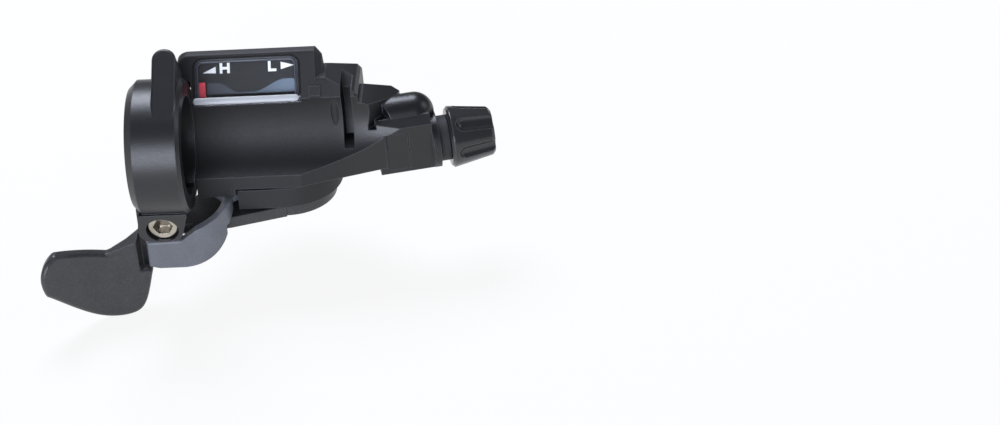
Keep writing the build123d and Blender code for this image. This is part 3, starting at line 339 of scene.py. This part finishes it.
    def edge_mask(self, tree: bpy.types.NodeTree) -> bpy.types.NodeSocket:
        """Finds edges for the painted highlight by how far the rounded normal leaves the true one.

        Args:
            tree: The material's node tree.

        Returns:
            An output that is 0 on flats and 1 on sharp edges.
        """
        wide = add_node(tree, "ShaderNodeBevel", {"Radius": self.edge_mm * MM}, samples=4)
        true = add_node(tree, "ShaderNodeNewGeometry")
        along = add_node(
            tree,
            "ShaderNodeVectorMath",
            {0: wide.outputs["Normal"], 1: true.outputs["Normal"]},
            operation="DOT_PRODUCT",
        )
        flat, sharp = EDGE_SPAN
        mask = add_node(
            tree,
            "ShaderNodeMapRange",
            {"Value": along.outputs["Value"], "From Min": flat, "From Max": sharp},
        )
        return mask.outputs["Result"]


@dataclass(frozen=True)
class Metal:
    """Bare metal with the marks of its making about an axis.

    Turned marks lie 2 pi times mark_mm apart, far coarser than a tool's real ones, so that they show.
    """

    name: str
    colour: str
    roughness: float
    make: MetalMake
    mark_mm: float = 0.35
    mark_depth_mm: float = 0.004
    mark_waver: float = 1.2
    drawn_stretch: float = 0.08
    stain: str = "#6b5238"
    stain_amount: float = 0.0
    stain_mm: float = 2.0
    film_mm: float = 0.0
    film_core: float = 0.85
    film_weight: float = 0.6
    centre_mm: tuple[float, float, float] = (0.0, 0.0, 0.0)
    turn: tuple[float, float, float] = (0.0, 0.0, 0.0)
    edge_mm: float = 0.15

    def material(self) -> bpy.types.Material:
        """Builds the node material.

        Returns:
            The finish as a material on Object coordinates.
        """
        material, tree = new_material(self.name)
        place = add_node(tree, "ShaderNodeTexCoord").outputs["Object"]
        centred = add_node(
            tree,
            "ShaderNodeMapping",
            {"Vector": place, "Location": Vector(self.centre_mm) * MM, "Rotation": self.turn},
            vector_type="TEXTURE",
        ).outputs["Vector"]
        if self.make is MetalMake.TURNED:
            marks = add_node(
                tree,
                "ShaderNodeTexWave",
                {
                    "Vector": centred,
                    "Scale": per_metre(self.mark_mm) / WAVE_RADIANS,
                    "Distortion": self.mark_waver,
                    "Detail": 2.0,
                },
                wave_type="RINGS",
                rings_direction="Z",
            ).outputs["Fac"]
        else:
            stretch = self.drawn_stretch if self.make is MetalMake.DRAWN else 1.0
            drawn = add_node(tree, "ShaderNodeMapping", {"Vector": centred, "Scale": (1.0, 1.0, stretch)})
            marks = add_node(
                tree,
                "ShaderNodeTexNoise",
                {"Vector": drawn.outputs["Vector"], "Scale": per_metre(self.mark_mm), "Detail": 3.0},
            ).outputs["Fac"]
        cloud = add_node(
            tree, "ShaderNodeTexNoise", {"Vector": place, "Scale": per_metre(self.stain_mm), "Detail": 5.0}
        )
        low, high = STAIN_SPAN
        patchy = add_node(
            tree,
            "ShaderNodeMapRange",
            {"Value": cloud.outputs["Fac"], "From Min": low, "From Max": high, "To Max": self.stain_amount},
        )
        colour = add_node(
            tree,
            "ShaderNodeMix",
            {"Factor": self.film_and_shade(tree, centred, patchy), "A": linear(self.colour), "B": linear(self.stain)},
            data_type="RGBA",
        )
        shine = add_node(
            tree,
            "ShaderNodeMapRange",
            {"Value": marks, "To Min": self.roughness - 0.05, "To Max": self.roughness + 0.1},
        )
        soft = add_node(tree, "ShaderNodeBevel", {"Radius": self.edge_mm * MM}, samples=4)
        bump = add_node(
            tree,
            "ShaderNodeBump",
            {"Distance": self.mark_depth_mm * MM, "Height": marks, "Normal": soft.outputs["Normal"]},
        )
        shader = add_node(
            tree,
            "ShaderNodeBsdfPrincipled",
            {
                "Base Color": colour.outputs["Result"],
                "Metallic": 1.0,
                "Roughness": shine.outputs["Result"],
                "Normal": bump.outputs["Normal"],
            },
        )
        add_node(tree, "ShaderNodeOutputMaterial", {"Surface": shader.outputs["BSDF"]})
        return material

    def film_and_shade(
        self, tree: bpy.types.NodeTree, centred: bpy.types.NodeSocket, patchy: bpy.types.Node
    ) -> bpy.types.NodeSocket:
        """Keeps the stain to a middle about the axis, and thickens it there; on the bolt this also paints
        shade into the socket.

        Args:
            tree: The material's node tree.
            centred: Coordinates about the axis.
            patchy: The node with the stain's patches.

        Returns:
            How much stain shows.
        """
        if not self.film_mm:
            return patchy.outputs["Result"]
        flat = add_node(tree, "ShaderNodeVectorMath", {0: centred, 1: (1.0, 1.0, 0.0)}, operation="MULTIPLY")
        away = add_node(tree, "ShaderNodeVectorMath", {0: flat.outputs["Vector"]}, operation="LENGTH")
        inside = add_node(
            tree,
            "ShaderNodeMapRange",
            {
                "Value": away.outputs["Value"],
                "From Min": self.film_mm * MM,
                "From Max": self.film_mm * MM * self.film_core,
                "To Max": self.film_weight,
            },
        )
        thick = add_node(
            tree,
            "ShaderNodeMath",
            {0: patchy.outputs["Result"], 1: 1.0, 2: inside.outputs["Result"]},
            operation="MULTIPLY_ADD",
            use_clamp=True,
        )
        return thick.outputs[0]


@dataclass(frozen=True)
class ClearPlastic:
    """Clear moulded acrylic: smooth, with faint flow marks."""

    name: str
    colour: str
    roughness: float
    ior: float = 1.49
    flow_mm: float = 6.0
    flow_depth_mm: float = 0.01

    def material(self) -> bpy.types.Material:
        """Builds the node material.

        Returns:
            The finish as a material on Object coordinates.
        """
        material, tree = new_material(self.name)
        place = add_node(tree, "ShaderNodeTexCoord").outputs["Object"]
        flow = add_node(
            tree, "ShaderNodeTexNoise", {"Vector": place, "Scale": per_metre(self.flow_mm), "Detail": 1.0}
        )
        bump = add_node(
            tree, "ShaderNodeBump", {"Distance": self.flow_depth_mm * MM, "Height": flow.outputs["Fac"]}
        )
        shader = add_node(
            tree,
            "ShaderNodeBsdfPrincipled",
            {
                "Base Color": linear(self.colour),
                "Roughness": self.roughness,
                "IOR": self.ior,
                "Transmission Weight": 1.0,
                "Normal": bump.outputs["Normal"],
            },
        )
        clear = add_node(tree, "ShaderNodeBsdfTransparent", {"Color": linear(self.colour)})
        shadow = add_node(tree, "ShaderNodeLightPath").outputs["Is Shadow Ray"]
        lit = add_node(
            tree, "ShaderNodeMixShader", {0: shadow, 1: shader.outputs["BSDF"], 2: clear.outputs["BSDF"]}
        )
        add_node(tree, "ShaderNodeOutputMaterial", {"Surface": lit.outputs["Shader"]})
        return material


# Dark glass-filled nylon, moulded: nearly black, a fine satin grain that greys under soft light, and a
# painted highlight along its edges.
BLACK_NYLON = GrainedFinish("moulded_black_nylon", "#1b1c1f", 0.37, edge_highlight_lift=4.0)
# The housing's nylon: a coarser, duller grain, a colour darker than the band's that paints shade onto its
# recessed and turned-away faces, a strong painted highlight along its edges and a shine on the cable's
# outlet.
HOUSING_NYLON = GrainedFinish(
    "grained_housing_nylon_painted_shade", "#131416", 0.6, grain_depth_mm=0.02, cloud=0.25, edge_highlight_lift=12.0,
    far_roughness=0.34, fade_mm=(38.0, 48.0),
)
# Grey acetal thumb lever, moulded: smoother and paler than the housing, with a soft satin sheen, painted
# glints on its grain and a painted highlight along its edges.
LEVER_RESIN = GrainedFinish(
    "moulded_grey_lever_resin", "#343435", 0.3, grain_mm=0.5, grain_depth_mm=0.03,
    cloud_mm=4.0, cloud=0.35, edge_mm=0.6, edge_highlight_lift=1.2, tip_glint=0.35,
)
# Grey acetal release lever: the same resin, painted paler all over as a sheen for the light its pad catches,
# with fainter painted glints on its grain.
RELEASE_RESIN = GrainedFinish(
    "grey_release_resin_painted_sheen", "#66696f", 0.36, grain_mm=0.5, grain_depth_mm=0.025,
    cloud_mm=4.0, cloud=0.25, edge_mm=0.5, tip_glint=0.12,
)
# Nylon adjuster knob, moulded: glossier than the housing, so its flutes catch light, and a painted highlight
# along their edges.
ADJUSTER_RESIN = GrainedFinish(
    "moulded_adjuster_nylon", "#29292a", 0.2, grain_depth_mm=0.006, edge_mm=0.4, edge_highlight_lift=4.0
)
# Moulded rubber ring: matt and dark.
COLLAR_RUBBER = GrainedFinish("moulded_collar_rubber", "#2a2b2d", 0.7, ior=1.5, grain_depth_mm=0.02)
# Black painted dial sheet: flat and a little blue.
DIAL_BLACK = GrainedFinish(
    "painted_dial_black", "#101216", 0.75, grain_depth_mm=0.003, cloud=0.1, edge_mm=0.08
)
# Pointer of dark acetal, its tip in front of the dial painted red and slightly glossy.
NEEDLE_RED = GrainedFinish(
    "painted_red_needle", "#1c1c1e", 0.35, grain_depth_mm=0.003, cloud=0.08, edge_mm=0.1,
    far_colour="#c81f36", fade_mm=(-9.9, -9.3), fade_axis=(0.0, -0.819, 0.574),
)
# White screen-printed ink: matt, with a slightly uneven film.
WHITE_INK = GrainedFinish(
    "printed_white_ink", "#f2f4f6", 0.5, grain_depth_mm=0.002, cloud=0.03, edge_highlight_lift=0.0
)
# Pale blue-grey scale on the dial, its colour running paler towards the right.
DIAL_SCALE_FINISH = GrainedFinish(
    "pale_blue_grey_dial_scale", "#2c333d", 0.6, cloud_mm=3.0, cloud=0.15, edge_highlight_lift=0.0,
    far_colour="#5f6f80", fade_mm=(13.0, 27.0),
)
# Lens lip: pale and glossy, a painted highlight for the light that gathers in the clear edge of the lens.
LIP_HIGHLIGHT = GrainedFinish(
    "lip_painted_highlight", "#c0c3c6", 0.16, ior=1.49, grain_depth_mm=0.004, cloud=0.04
)
# Lens bevels: an opaque grey that paints their highlight lines, glossy, so bright where they meet the lamp.
BEVEL_HIGHLIGHT = GrainedFinish(
    "bevel_painted_highlight", "#565b65", 0.12, ior=1.49, grain_depth_mm=0.0005, cloud=0.1
)
# Soft black gasket: matt, nearly no highlight.
GASKET_RUBBER = GrainedFinish("extruded_gasket_rubber", "#0e0f11", 0.8, ior=1.5, edge_highlight_lift=0.0)
# White acetal drum: slightly translucent-looking, waxy.
SPOOL_ACETAL = GrainedFinish("moulded_spool_acetal", "#d9d7cf", 0.38, ior=1.48, cloud=0.06)
# Clear acrylic pane.
LENS_CLEAR = ClearPlastic("moulded_clear_acrylic", "#ffffff", 0.03)
# Zinc-plated steel screws, turned.
SCREW_STEEL = Metal("zinc_plated_screw_steel", "#b9bcc0", 0.32, MetalMake.TURNED)
# Stamped steel plates with a tumbled, slightly dull face.
PLATE_STEEL = Metal("stamped_plate_steel", "#a7a9ac", 0.38, MetalMake.STAMPED, mark_mm=0.6)
# Blackened plate and rail steel: phosphated, dark and dull.
BLACKED_STEEL = Metal("phosphated_black_steel", "#3a3b3e", 0.5, MetalMake.STAMPED, mark_mm=0.6)
# Ground steel pins.
PIN_STEEL = Metal("ground_pin_steel", "#c2c4c7", 0.22, MetalMake.TURNED, mark_mm=0.25)
# Drawn spring wire.
SPRING_STEEL = Metal("drawn_spring_wire", "#9fa1a5", 0.28, MetalMake.DRAWN, mark_mm=0.2)


# Surfaces


@dataclass(frozen=True)
class WindowFrame:
    """Tilted frame of the window: X along the bar, then up the pane, then out of it."""

    origin_y_mm: float = 11.4
    origin_z_mm: float = 4.9
    tilt: float = math.radians(55)

    def place(self, along: np.ndarray, up: np.ndarray, out: np.ndarray) -> np.ndarray:
        """Puts points of the window's frame into the part's frame.

        The point is the origin plus up along the pane's slope plus out along its normal.

        Args:
            along: X in millimetres.
            up: Height up the pane in millimetres.
            out: Height out of the pane in millimetres.

        Returns:
            Points in metres, with the last axis of length 3.
        """
        slope, rise = math.cos(self.tilt), math.sin(self.tilt)
        y = self.origin_y_mm + up * slope - out * rise
        z = self.origin_z_mm + up * rise + out * slope
        return np.stack(np.broadcast_arrays(along, y, z), axis=-1) * MM


def mesh_object(
    name: str, points: np.ndarray, faces: list[list[int]], material: bpy.types.Material
) -> bpy.types.Object:
    """Makes a mesh object at the origin.

    Args:
        name: The piece's name.
        points: Vertices in metres.
        faces: Lists of vertex numbers, each turning left seen from outside.
        material: The finish.

    Returns:
        The new object, linked to the scene.
    """
    mesh = bpy.data.meshes.new(name)
    mesh.from_pydata(points.reshape(-1, 3).tolist(), [], faces)
    mesh.materials.append(material)
    mesh.shade_smooth()
    mesh.set_sharp_from_angle(angle=SHARP_ANGLE)
    mesh.update()
    piece = bpy.data.objects.new(name, mesh)
    bpy.context.scene.collection.objects.link(piece)
    return piece


def ring_faces(rows: int, columns: int) -> list[list[int]]:
    """Faces of a stack of closed rings with both ends capped.

    Args:
        rows: Number of rings.
        columns: Points in each ring.

    Returns:
        Quads between the rings and one polygon at each end.
    """
    row, column = np.meshgrid(np.arange(rows - 1), np.arange(columns), indexing="ij")
    following = (column + 1) % columns
    quads = np.stack(
        [
            row * columns + column,
            row * columns + following,
            (row + 1) * columns + following,
            (row + 1) * columns + column,
        ],
        axis=-1,
    ).reshape(-1, 4)
    first = np.arange(columns)[::-1]
    last = np.arange(columns) + (rows - 1) * columns
    return [*quads.tolist(), first.tolist(), last.tolist()]


def turn_outwards(piece: bpy.types.Object) -> None:
    """Turns a closed mesh so that its volume is positive, by its signed volume.

    Args:
        piece: The closed mesh object.
    """
    mesh = piece.data
    mesh.calc_loop_triangles()
    corners = np.empty(len(mesh.loop_triangles) * 3, np.int32)
    mesh.loop_triangles.foreach_get("vertices", corners)
    places = np.empty(len(mesh.vertices) * 3)
    mesh.vertices.foreach_get("co", places)
    a, b, c = np.moveaxis(places.reshape(-1, 3)[corners.reshape(-1, 3)], 1, 0)
    if np.einsum("ij,ij->i", a, np.cross(b, c)).sum() < 0:
        mesh.flip_normals()


def finish_piece(piece: bpy.types.Object, body: Body) -> bpy.types.Object:
    """Hands a piece over to its body.

    Args:
        piece: The finished piece.
        body: The body it rides on.

    Returns:
        The same piece.
    """
    turn_outwards(piece)
    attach(piece, body.value)
    LOG.info("piece %s: %d faces on %s", piece.name, len(piece.data.polygons), body.value)
    return piece


# Dial and window


@dataclass
class DialPrint:
    """Marks on the dial: the printed letters at its ends, two printed arrows and the pale scale."""

    window: WindowFrame
    depth_mm: float = 3.0
    ink_mm: float = 0.04
    letter_base_mm: float = 5.9
    letter_height_mm: float = 2.35
    letter_width_mm: float = 2.3
    stroke_mm: float = 0.62
    high_x_mm: float = 12.6
    low_x_mm: float = 23.6
    low_width_mm: float = 1.9
    left_arrow: tuple[tuple[float, float], ...] = ((8.7, 6.1), (11.7, 6.0), (11.7, 7.5))
    right_arrow: tuple[tuple[float, float], ...] = ((26.5, 6.3), (29.5, 7.15), (26.5, 8.0))
    scale_start_mm: float = 9.6
    scale_end_mm: float = 29.9
    scale_base_mm: float = 1.12
    scale_low_mm: float = 1.55
    left_rise_mm: float = 2.2
    left_span_mm: tuple[float, float] = (12.0, 16.8)
    right_rise_mm: float = 2.65
    right_span_mm: tuple[float, float] = (20.2, 27.4)
    end_fall_mm: float = 0.9
    end_span_mm: tuple[float, float] = (29.2, 29.9)
    scale_columns: int = 96

    def build(self) -> list[bpy.types.Object]:
        """Builds every mark.

        Returns:
            The pieces of print.
        """
        ink = WHITE_INK.material()
        base, top = self.letter_base_mm, self.letter_base_mm + self.letter_height_mm
        middle = (base + top) / 2
        left, right = self.high_x_mm, self.high_x_mm + self.letter_width_mm
        stroke = self.stroke_mm
        letter_h = [
            (left, base), (left + stroke, base), (left + stroke, middle - stroke / 2),
            (right - stroke, middle - stroke / 2), (right - stroke, base), (right, base),
            (right, top), (right - stroke, top), (right - stroke, middle + stroke / 2),
            (left + stroke, middle + stroke / 2), (left + stroke, top), (left, top),
        ]
        left, right = self.low_x_mm, self.low_x_mm + self.low_width_mm
        letter_l = [
            (left, base), (right, base), (right, base + stroke),
            (left + stroke, base + stroke), (left + stroke, top), (left, top),
        ]
        marks = {
            "dial_letter_high": letter_h,
            "dial_letter_low": letter_l,
            "dial_arrow_left": self.left_arrow,
            "dial_arrow_right": self.right_arrow,
        }
        made = [self.mark(name, outline, ink) for name, outline in marks.items()]
        made.append(self.scale())
        return made

    def mark(self, name: str, outline: ArrayLike, ink: bpy.types.Material) -> bpy.types.Object:
        """Raises an outline off the dial by the thickness of the ink.

        The surface is the outline carried from the dial's face to the top of the ink.

        Args:
            name: The piece's name.
            outline: Points along and up the pane, in order round the mark.
            ink: The ink's material.

        Returns:
            The mark.
        """
        flat = np.array(outline)
        out = np.array([0.0, self.ink_mm])[:, None] - self.depth_mm
        points = self.window.place(flat[None, :, 0], flat[None, :, 1], out)
        piece = mesh_object(name, points, ring_faces(2, len(flat)), ink)
        return finish_piece(piece, Body.HOUSING)

    def scale(self) -> bpy.types.Object:
        """Lays the pale scale along the foot of the dial.

        Its upper edge is a low line with a smooth step up at either end, the right one a little higher
        and falling off at the very end.

        Returns:
            The scale.
        """
        along = np.linspace(self.scale_start_mm, self.scale_end_mm, self.scale_columns)

        def step(start: float, end: float) -> np.ndarray:
            """Smooth step from 0 to 1 between two places along the dial."""
            t = np.clip((along - start) / (end - start), 0, 1)
            return t * t * (3 - 2 * t)

        left = self.left_rise_mm * (1 - step(*self.left_span_mm))
        right = self.right_rise_mm * step(*self.right_span_mm) - self.end_fall_mm * step(*self.end_span_mm)
        top = self.scale_low_mm + left + right
        outline = np.concatenate(
            [
                np.stack([along, np.full(self.scale_columns, self.scale_base_mm)], axis=-1),
                np.stack([along, top], axis=-1)[::-1],
            ]
        )
        return self.mark("dial_scale", outline, DIAL_SCALE_FINISH.material())


@dataclass
class LensTrim:
    """Lip along the lens's foot painted pale as a highlight, the dark gasket round the pane and the lens's
    bevels painted grey as highlight lines.
    """

    window: WindowFrame
    start_mm: float = 6.9
    end_mm: float = 30.9
    height_mm: float = 9.3
    corner_mm: float = 2.2
    lip_start_mm: float = 6.5
    lip_end_mm: float = 30.7
    lip_top_mm: float = 0.35
    lip_foot_mm: float = -1.2
    lip_proud_mm: float = 0.28
    lip_power: int = 40
    lip_rows: int = 64
    lip_columns: int = 24
    side_points: int = 8
    corner_points: int = 12
    bead_columns: int = 12

    def build(self) -> list[bpy.types.Object]:
        """Builds the lip, the gasket and the bevels.

        Returns:
            The pieces of trim.
        """
        rubber = GASKET_RUBBER.material()
        bevel = BEVEL_HIGHLIGHT.material()
        return [
            self.lip(),
            self.bead(
                "pane_gasket", inset_mm=-0.05, width_mm=0.5, proud_mm=0.07,
                material=rubber,
            ),
            # The two bevels are grey beads: painted highlight lines along the lens's bevelled edges.
            self.bead(
                "pane_outer_bevel", inset_mm=0.42, width_mm=0.14, proud_mm=0.05,
                material=bevel,
            ),
            self.bead(
                "pane_inner_bevel", inset_mm=0.95, width_mm=0.3, proud_mm=0.08,
                material=bevel,
            ),
        ]

    def lip(self) -> bpy.types.Object:
        """Rounded strip along the lens's foot, pale as a painted highlight for the light in the lens's clear
        edge.

        A flattened circle is carried along X, and its radius falls to nothing at both ends as a high
        power of the distance from the middle does, so that the ends are square with round corners.

        Returns:
            The lip.
        """
        rows, columns = self.lip_rows, self.lip_columns
        t = np.linspace(-1, 1, rows)[:, None]
        turn = np.linspace(0, 2 * math.pi, columns, endpoint=False)[None, :]
        half = (self.lip_end_mm - self.lip_start_mm) / 2
        swell = np.sqrt(np.clip(1 - np.abs(t) ** self.lip_power, 1e-4, 1))
        radius = (self.lip_top_mm - self.lip_foot_mm) / 2 * swell
        along = (self.lip_start_mm + self.lip_end_mm) / 2 + half * t + 0 * turn
        up = (self.lip_top_mm + self.lip_foot_mm) / 2 + radius * np.cos(turn)
        out = self.lip_proud_mm * swell * np.sin(turn)
        piece = mesh_object(
            "lens_lip", self.window.place(along, up, out), ring_faces(rows, columns), LIP_HIGHLIGHT.material()
        )
        return finish_piece(piece, Body.HOUSING)

    def bead(
        self,
        name: str,
        inset_mm: float,
        width_mm: float,
        proud_mm: float,
        material: bpy.types.Material,
    ) -> bpy.types.Object:
        """Thin bead that follows the pane's sides and top.

        A half-round bead follows a path that goes up one side, round both upper corners as quarter
        circles and down the other side, all a fixed distance inside the pane's edge.

        Args:
            name: The piece's name.
            inset_mm: Distance inside the pane's edge.
            width_mm: The bead's width.
            proud_mm: How far it stands out of the pane.
            material: The finish.

        Returns:
            The bead.
        """
        count = self.side_points
        side = np.linspace(0, 1, count)
        arc = np.linspace(0, math.pi / 2, self.corner_points)
        low, high = self.start_mm + inset_mm, self.end_mm - inset_mm
        top, corner = self.height_mm - inset_mm, self.corner_mm - inset_mm
        foot = self.lip_top_mm
        path = np.concatenate(
            [
                np.stack([np.full(count, low), foot + side * (top - corner - foot)], -1),
                np.stack([low + corner * (1 - np.cos(arc)), top - corner * (1 - np.sin(arc))], -1)[1:],
                np.stack([high - corner * (1 - np.sin(arc)), top - corner * (1 - np.cos(arc))], -1),
                np.stack([np.full(count, high), foot + (1 - side) * (top - corner - foot)], -1)[1:],
            ]
        )
        ahead = np.gradient(path, axis=0)
        ahead /= np.linalg.norm(ahead, axis=1, keepdims=True)
        aside = np.stack([ahead[:, 1], -ahead[:, 0]], -1)
        turn = np.linspace(0, 2 * math.pi, self.bead_columns, endpoint=False)
        across = width_mm / 2 * np.cos(turn)
        out = proud_mm * np.sin(turn)
        flat = path[:, None, :] + aside[:, None, :] * across[None, :, None]
        points = self.window.place(flat[..., 0], flat[..., 1], np.broadcast_to(out, flat.shape[:2]))
        piece = mesh_object(name, points, ring_faces(len(path), self.bead_columns), material)
        return finish_piece(piece, Body.HOUSING)


# Solids


@dataclass
class Solids:
    """Finishes of the solids that come with the frame."""

    bolt_centre_mm: tuple[float, float, float] = (-0.7, -8.0, -16.3)
    bolt_tilt: float = math.radians(8)

    def dress(self) -> None:
        """Gives every solid its finish."""
        # Stainless clamp bolt, turned, with a brownish film in its socket, dark enough there to paint the
        # socket's shade as well.
        bolt = Metal(
            "turned_stainless_bolt", "#b9b3a8", 0.26, MetalMake.TURNED,
            mark_mm=0.4, stain="#33281d", stain_amount=0.3, stain_mm=2.6, film_mm=2.1,
            centre_mm=self.bolt_centre_mm, turn=(math.pi / 2 + self.bolt_tilt, 0.0, 0.0),
        )
        groups = {
            BLACK_NYLON: ("clamp_band",),
            HOUSING_NYLON: ("upper_housing", "lower_cover", "cable_port_cover"),
            LEVER_RESIN: ("main_lever",),
            RELEASE_RESIN: ("release_lever",),
            ADJUSTER_RESIN: ("barrel_adjuster",),
            COLLAR_RUBBER: ("adjuster_collar",),
            LENS_CLEAR: ("window_lens",),
            DIAL_BLACK: ("dial_plate",),
            NEEDLE_RED: ("indicator_needle",),
            bolt: ("clamp_bolt",),
            SCREW_STEEL: ("band_screws", "cover_screws", "clamp_nut", "axle_nut", "axle_washer"),
            PLATE_STEEL: ("index_ratchet", "holding_pawl", "drive_pawl"),
            BLACKED_STEEL: ("base_plate", "needle_rail"),
            PIN_STEEL: ("pivot_axle", "holding_pawl_pin", "drive_pawl_pin"),
            SPRING_STEEL: (
                "spool_return_spring", "holding_pawl_spring", "drive_pawl_spring",
                "release_lever_spring", "main_lever_spring",
            ),
            SPOOL_ACETAL: ("cable_spool",),
        }
        for finish, nodes in groups.items():
            material = finish.material()
            for node in nodes:
                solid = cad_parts[node]
                solid.data.materials.clear()
                solid.data.materials.append(material)
                LOG.info("solid %s: %s", node, material.name)


# Studio


@dataclass(frozen=True)
class Lamp:
    """Square soft lamp that points at the part."""

    name: str
    place_mm: tuple[float, float, float]
    size_mm: float
    watts: float


@dataclass
class Studio:
    """Pale floor, soft lamps and the camera at the photograph's angle."""

    lamps: tuple[Lamp, ...] = (
        Lamp("top_lamp", (-80.0, 340.0, 585.0), size_mm=340.0, watts=4.6),
        Lamp("front_lamp", (-160.0, -1060.0, 260.0), size_mm=640.0, watts=10.0),
        Lamp("side_lamp", (560.0, 60.0, 300.0), size_mm=260.0, watts=0.5),
    )
    floor_mm: float = 3000.0
    floor_colour: str = "#f4f4f4"
    floor_glow: float = 0.88
    lamp_colour: str = "#eaf0ff"
    world_colour: str = "#f3f6ff"
    world_strength: float = 0.18
    image: tuple[int, int] = (1000, 425)
    bar_pixel: tuple[float, float] = (161.6, 146.6)
    part_pixel: tuple[float, float] = (270.0, 181.0)
    pixels_per_mm: float = 4.45
    azimuth: float = math.radians(8.6)
    elevation: float = math.radians(32)
    roll: float = math.radians(7)
    distance_mm: float = 900.0
    sensor_mm: float = 36.0
    far_mm: float = 10000.0

    def build(self, low: Vector) -> None:
        """Builds the studio.

        Args:
            low: Lowest corner of the part, in metres.
        """
        self.floor(low.z)
        self.world()
        for lamp in self.lamps:
            self.hang(lamp)
        self.camera()

    def floor(self, level: float) -> None:
        """Lays the floor under the part.

        Rays that show it see mostly plain white, and the rest of its light keeps the part's shadow.

        Args:
            level: Height of the floor in metres.
        """
        side = self.floor_mm * MM
        corners = np.array(
            [(-side, -side, level), (side, -side, level), (side, side, level), (-side, side, level)]
        )
        material, tree = new_material("white_paper_floor")
        paper = add_node(tree, "ShaderNodeBsdfDiffuse", {"Color": linear(self.floor_colour)})
        glow = add_node(tree, "ShaderNodeEmission", {"Color": WHITE, "Strength": 1.0})
        share = add_node(
            tree, "ShaderNodeMath", {0: self.seen(tree), 1: self.floor_glow}, operation="MULTIPLY"
        )
        mixed = add_node(
            tree,
            "ShaderNodeMixShader",
            {0: share.outputs[0], 1: paper.outputs["BSDF"], 2: glow.outputs["Emission"]},
        )
        add_node(tree, "ShaderNodeOutputMaterial", {"Surface": mixed.outputs["Shader"]})
        mesh_object("floor", corners, [[0, 1, 2, 3]], material)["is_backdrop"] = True

    def seen(self, tree: bpy.types.NodeTree) -> bpy.types.NodeSocket:
        """Output that is 1 for rays from the camera and for what shines or shows through.

        Args:
            tree: The node tree.

        Returns:
            The output.
        """
        path = add_node(tree, "ShaderNodeLightPath")
        shown = add_node(
            tree,
            "ShaderNodeMath",
            {0: path.outputs["Is Camera Ray"], 1: path.outputs["Is Glossy Ray"]},
            operation="MAXIMUM",
        )
        shown = add_node(
            tree,
            "ShaderNodeMath",
            {0: shown.outputs[0], 1: path.outputs["Is Transmission Ray"]},
            operation="MAXIMUM",
        )
        return shown.outputs[0]

    def world(self) -> None:
        """Even white surroundings that light the part."""
        world = bpy.data.worlds.new("studio")
        world.use_nodes = True
        tree = world.node_tree
        tree.nodes.clear()
        light = add_node(
            tree,
            "ShaderNodeBackground",
            {"Color": linear(self.world_colour), "Strength": self.world_strength},
        )
        add_node(tree, "ShaderNodeOutputWorld", {"Surface": light.outputs["Background"]})
        bpy.context.scene.world = world

    def hang(self, lamp: Lamp) -> None:
        """Hangs a lamp and turns it to the part.

        Args:
            lamp: Its name, place, side and power.
        """
        data = bpy.data.lights.new(lamp.name, "AREA")
        data.size = lamp.size_mm * MM
        data.energy = lamp.watts
        data.color = linear(self.lamp_colour)[:3]
        hung = bpy.data.objects.new(lamp.name, data)
        hung.location = Vector(lamp.place_mm) * MM
        hung.rotation_euler = (-hung.location).to_track_quat("-Z", "Y").to_euler()
        bpy.context.scene.collection.objects.link(hung)

    def camera(self) -> None:
        """Stands the camera where the photograph's scale, tilt and framing put it."""
        across = Vector((math.cos(self.azimuth), math.sin(self.azimuth), 0.0))
        back = Vector(
            (
                math.sin(self.azimuth) * math.cos(self.elevation),
                -math.cos(self.azimuth) * math.cos(self.elevation),
                math.sin(self.elevation),
            )
        )
        above = back.cross(across)
        right = across * math.cos(self.roll) - above * math.sin(self.roll)
        up = across * math.sin(self.roll) + above * math.cos(self.roll)

        def at_pixel(pixel: tuple[float, float], origin: tuple[float, float]) -> Vector:
            """Offset in metres, in the picture's plane, from one pixel to another."""
            shift = (pixel[0] - origin[0], origin[1] - pixel[1])
            return (right * shift[0] + up * shift[1]) / self.pixels_per_mm * MM

        part = at_pixel(self.part_pixel, self.bar_pixel)
        aim = part + at_pixel((self.image[0] / 2, self.image[1] / 2), self.part_pixel)
        place = part + back * self.distance_mm * MM
        axis = (place - aim).normalized()
        side = up.cross(axis).normalized()
        data = bpy.data.cameras.new("camera")
        data.sensor_width = self.sensor_mm
        data.lens = self.pixels_per_mm * self.sensor_mm / self.image[0] * self.distance_mm
        data.clip_end = self.far_mm * MM
        camera = bpy.data.objects.new("camera", data)
        turned = Matrix((side, axis.cross(side), axis)).transposed().to_4x4()
        camera.matrix_world = Matrix.Translation(place) @ turned
        bpy.context.scene.collection.objects.link(camera)
        bpy.context.scene.camera = camera


def main() -> None:
    """Builds and dresses the shifter."""
    logging.basicConfig(level=logging.INFO, format="%(message)s")
    bpy.context.scene.view_settings.view_transform = "Standard"
    solid_low, solid_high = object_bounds()
    window = WindowFrame()
    Solids().dress()
    DialPrint(window).build()
    LensTrim(window).build()
    Studio().build(solid_low)


if __name__ == "__main__":
    main()
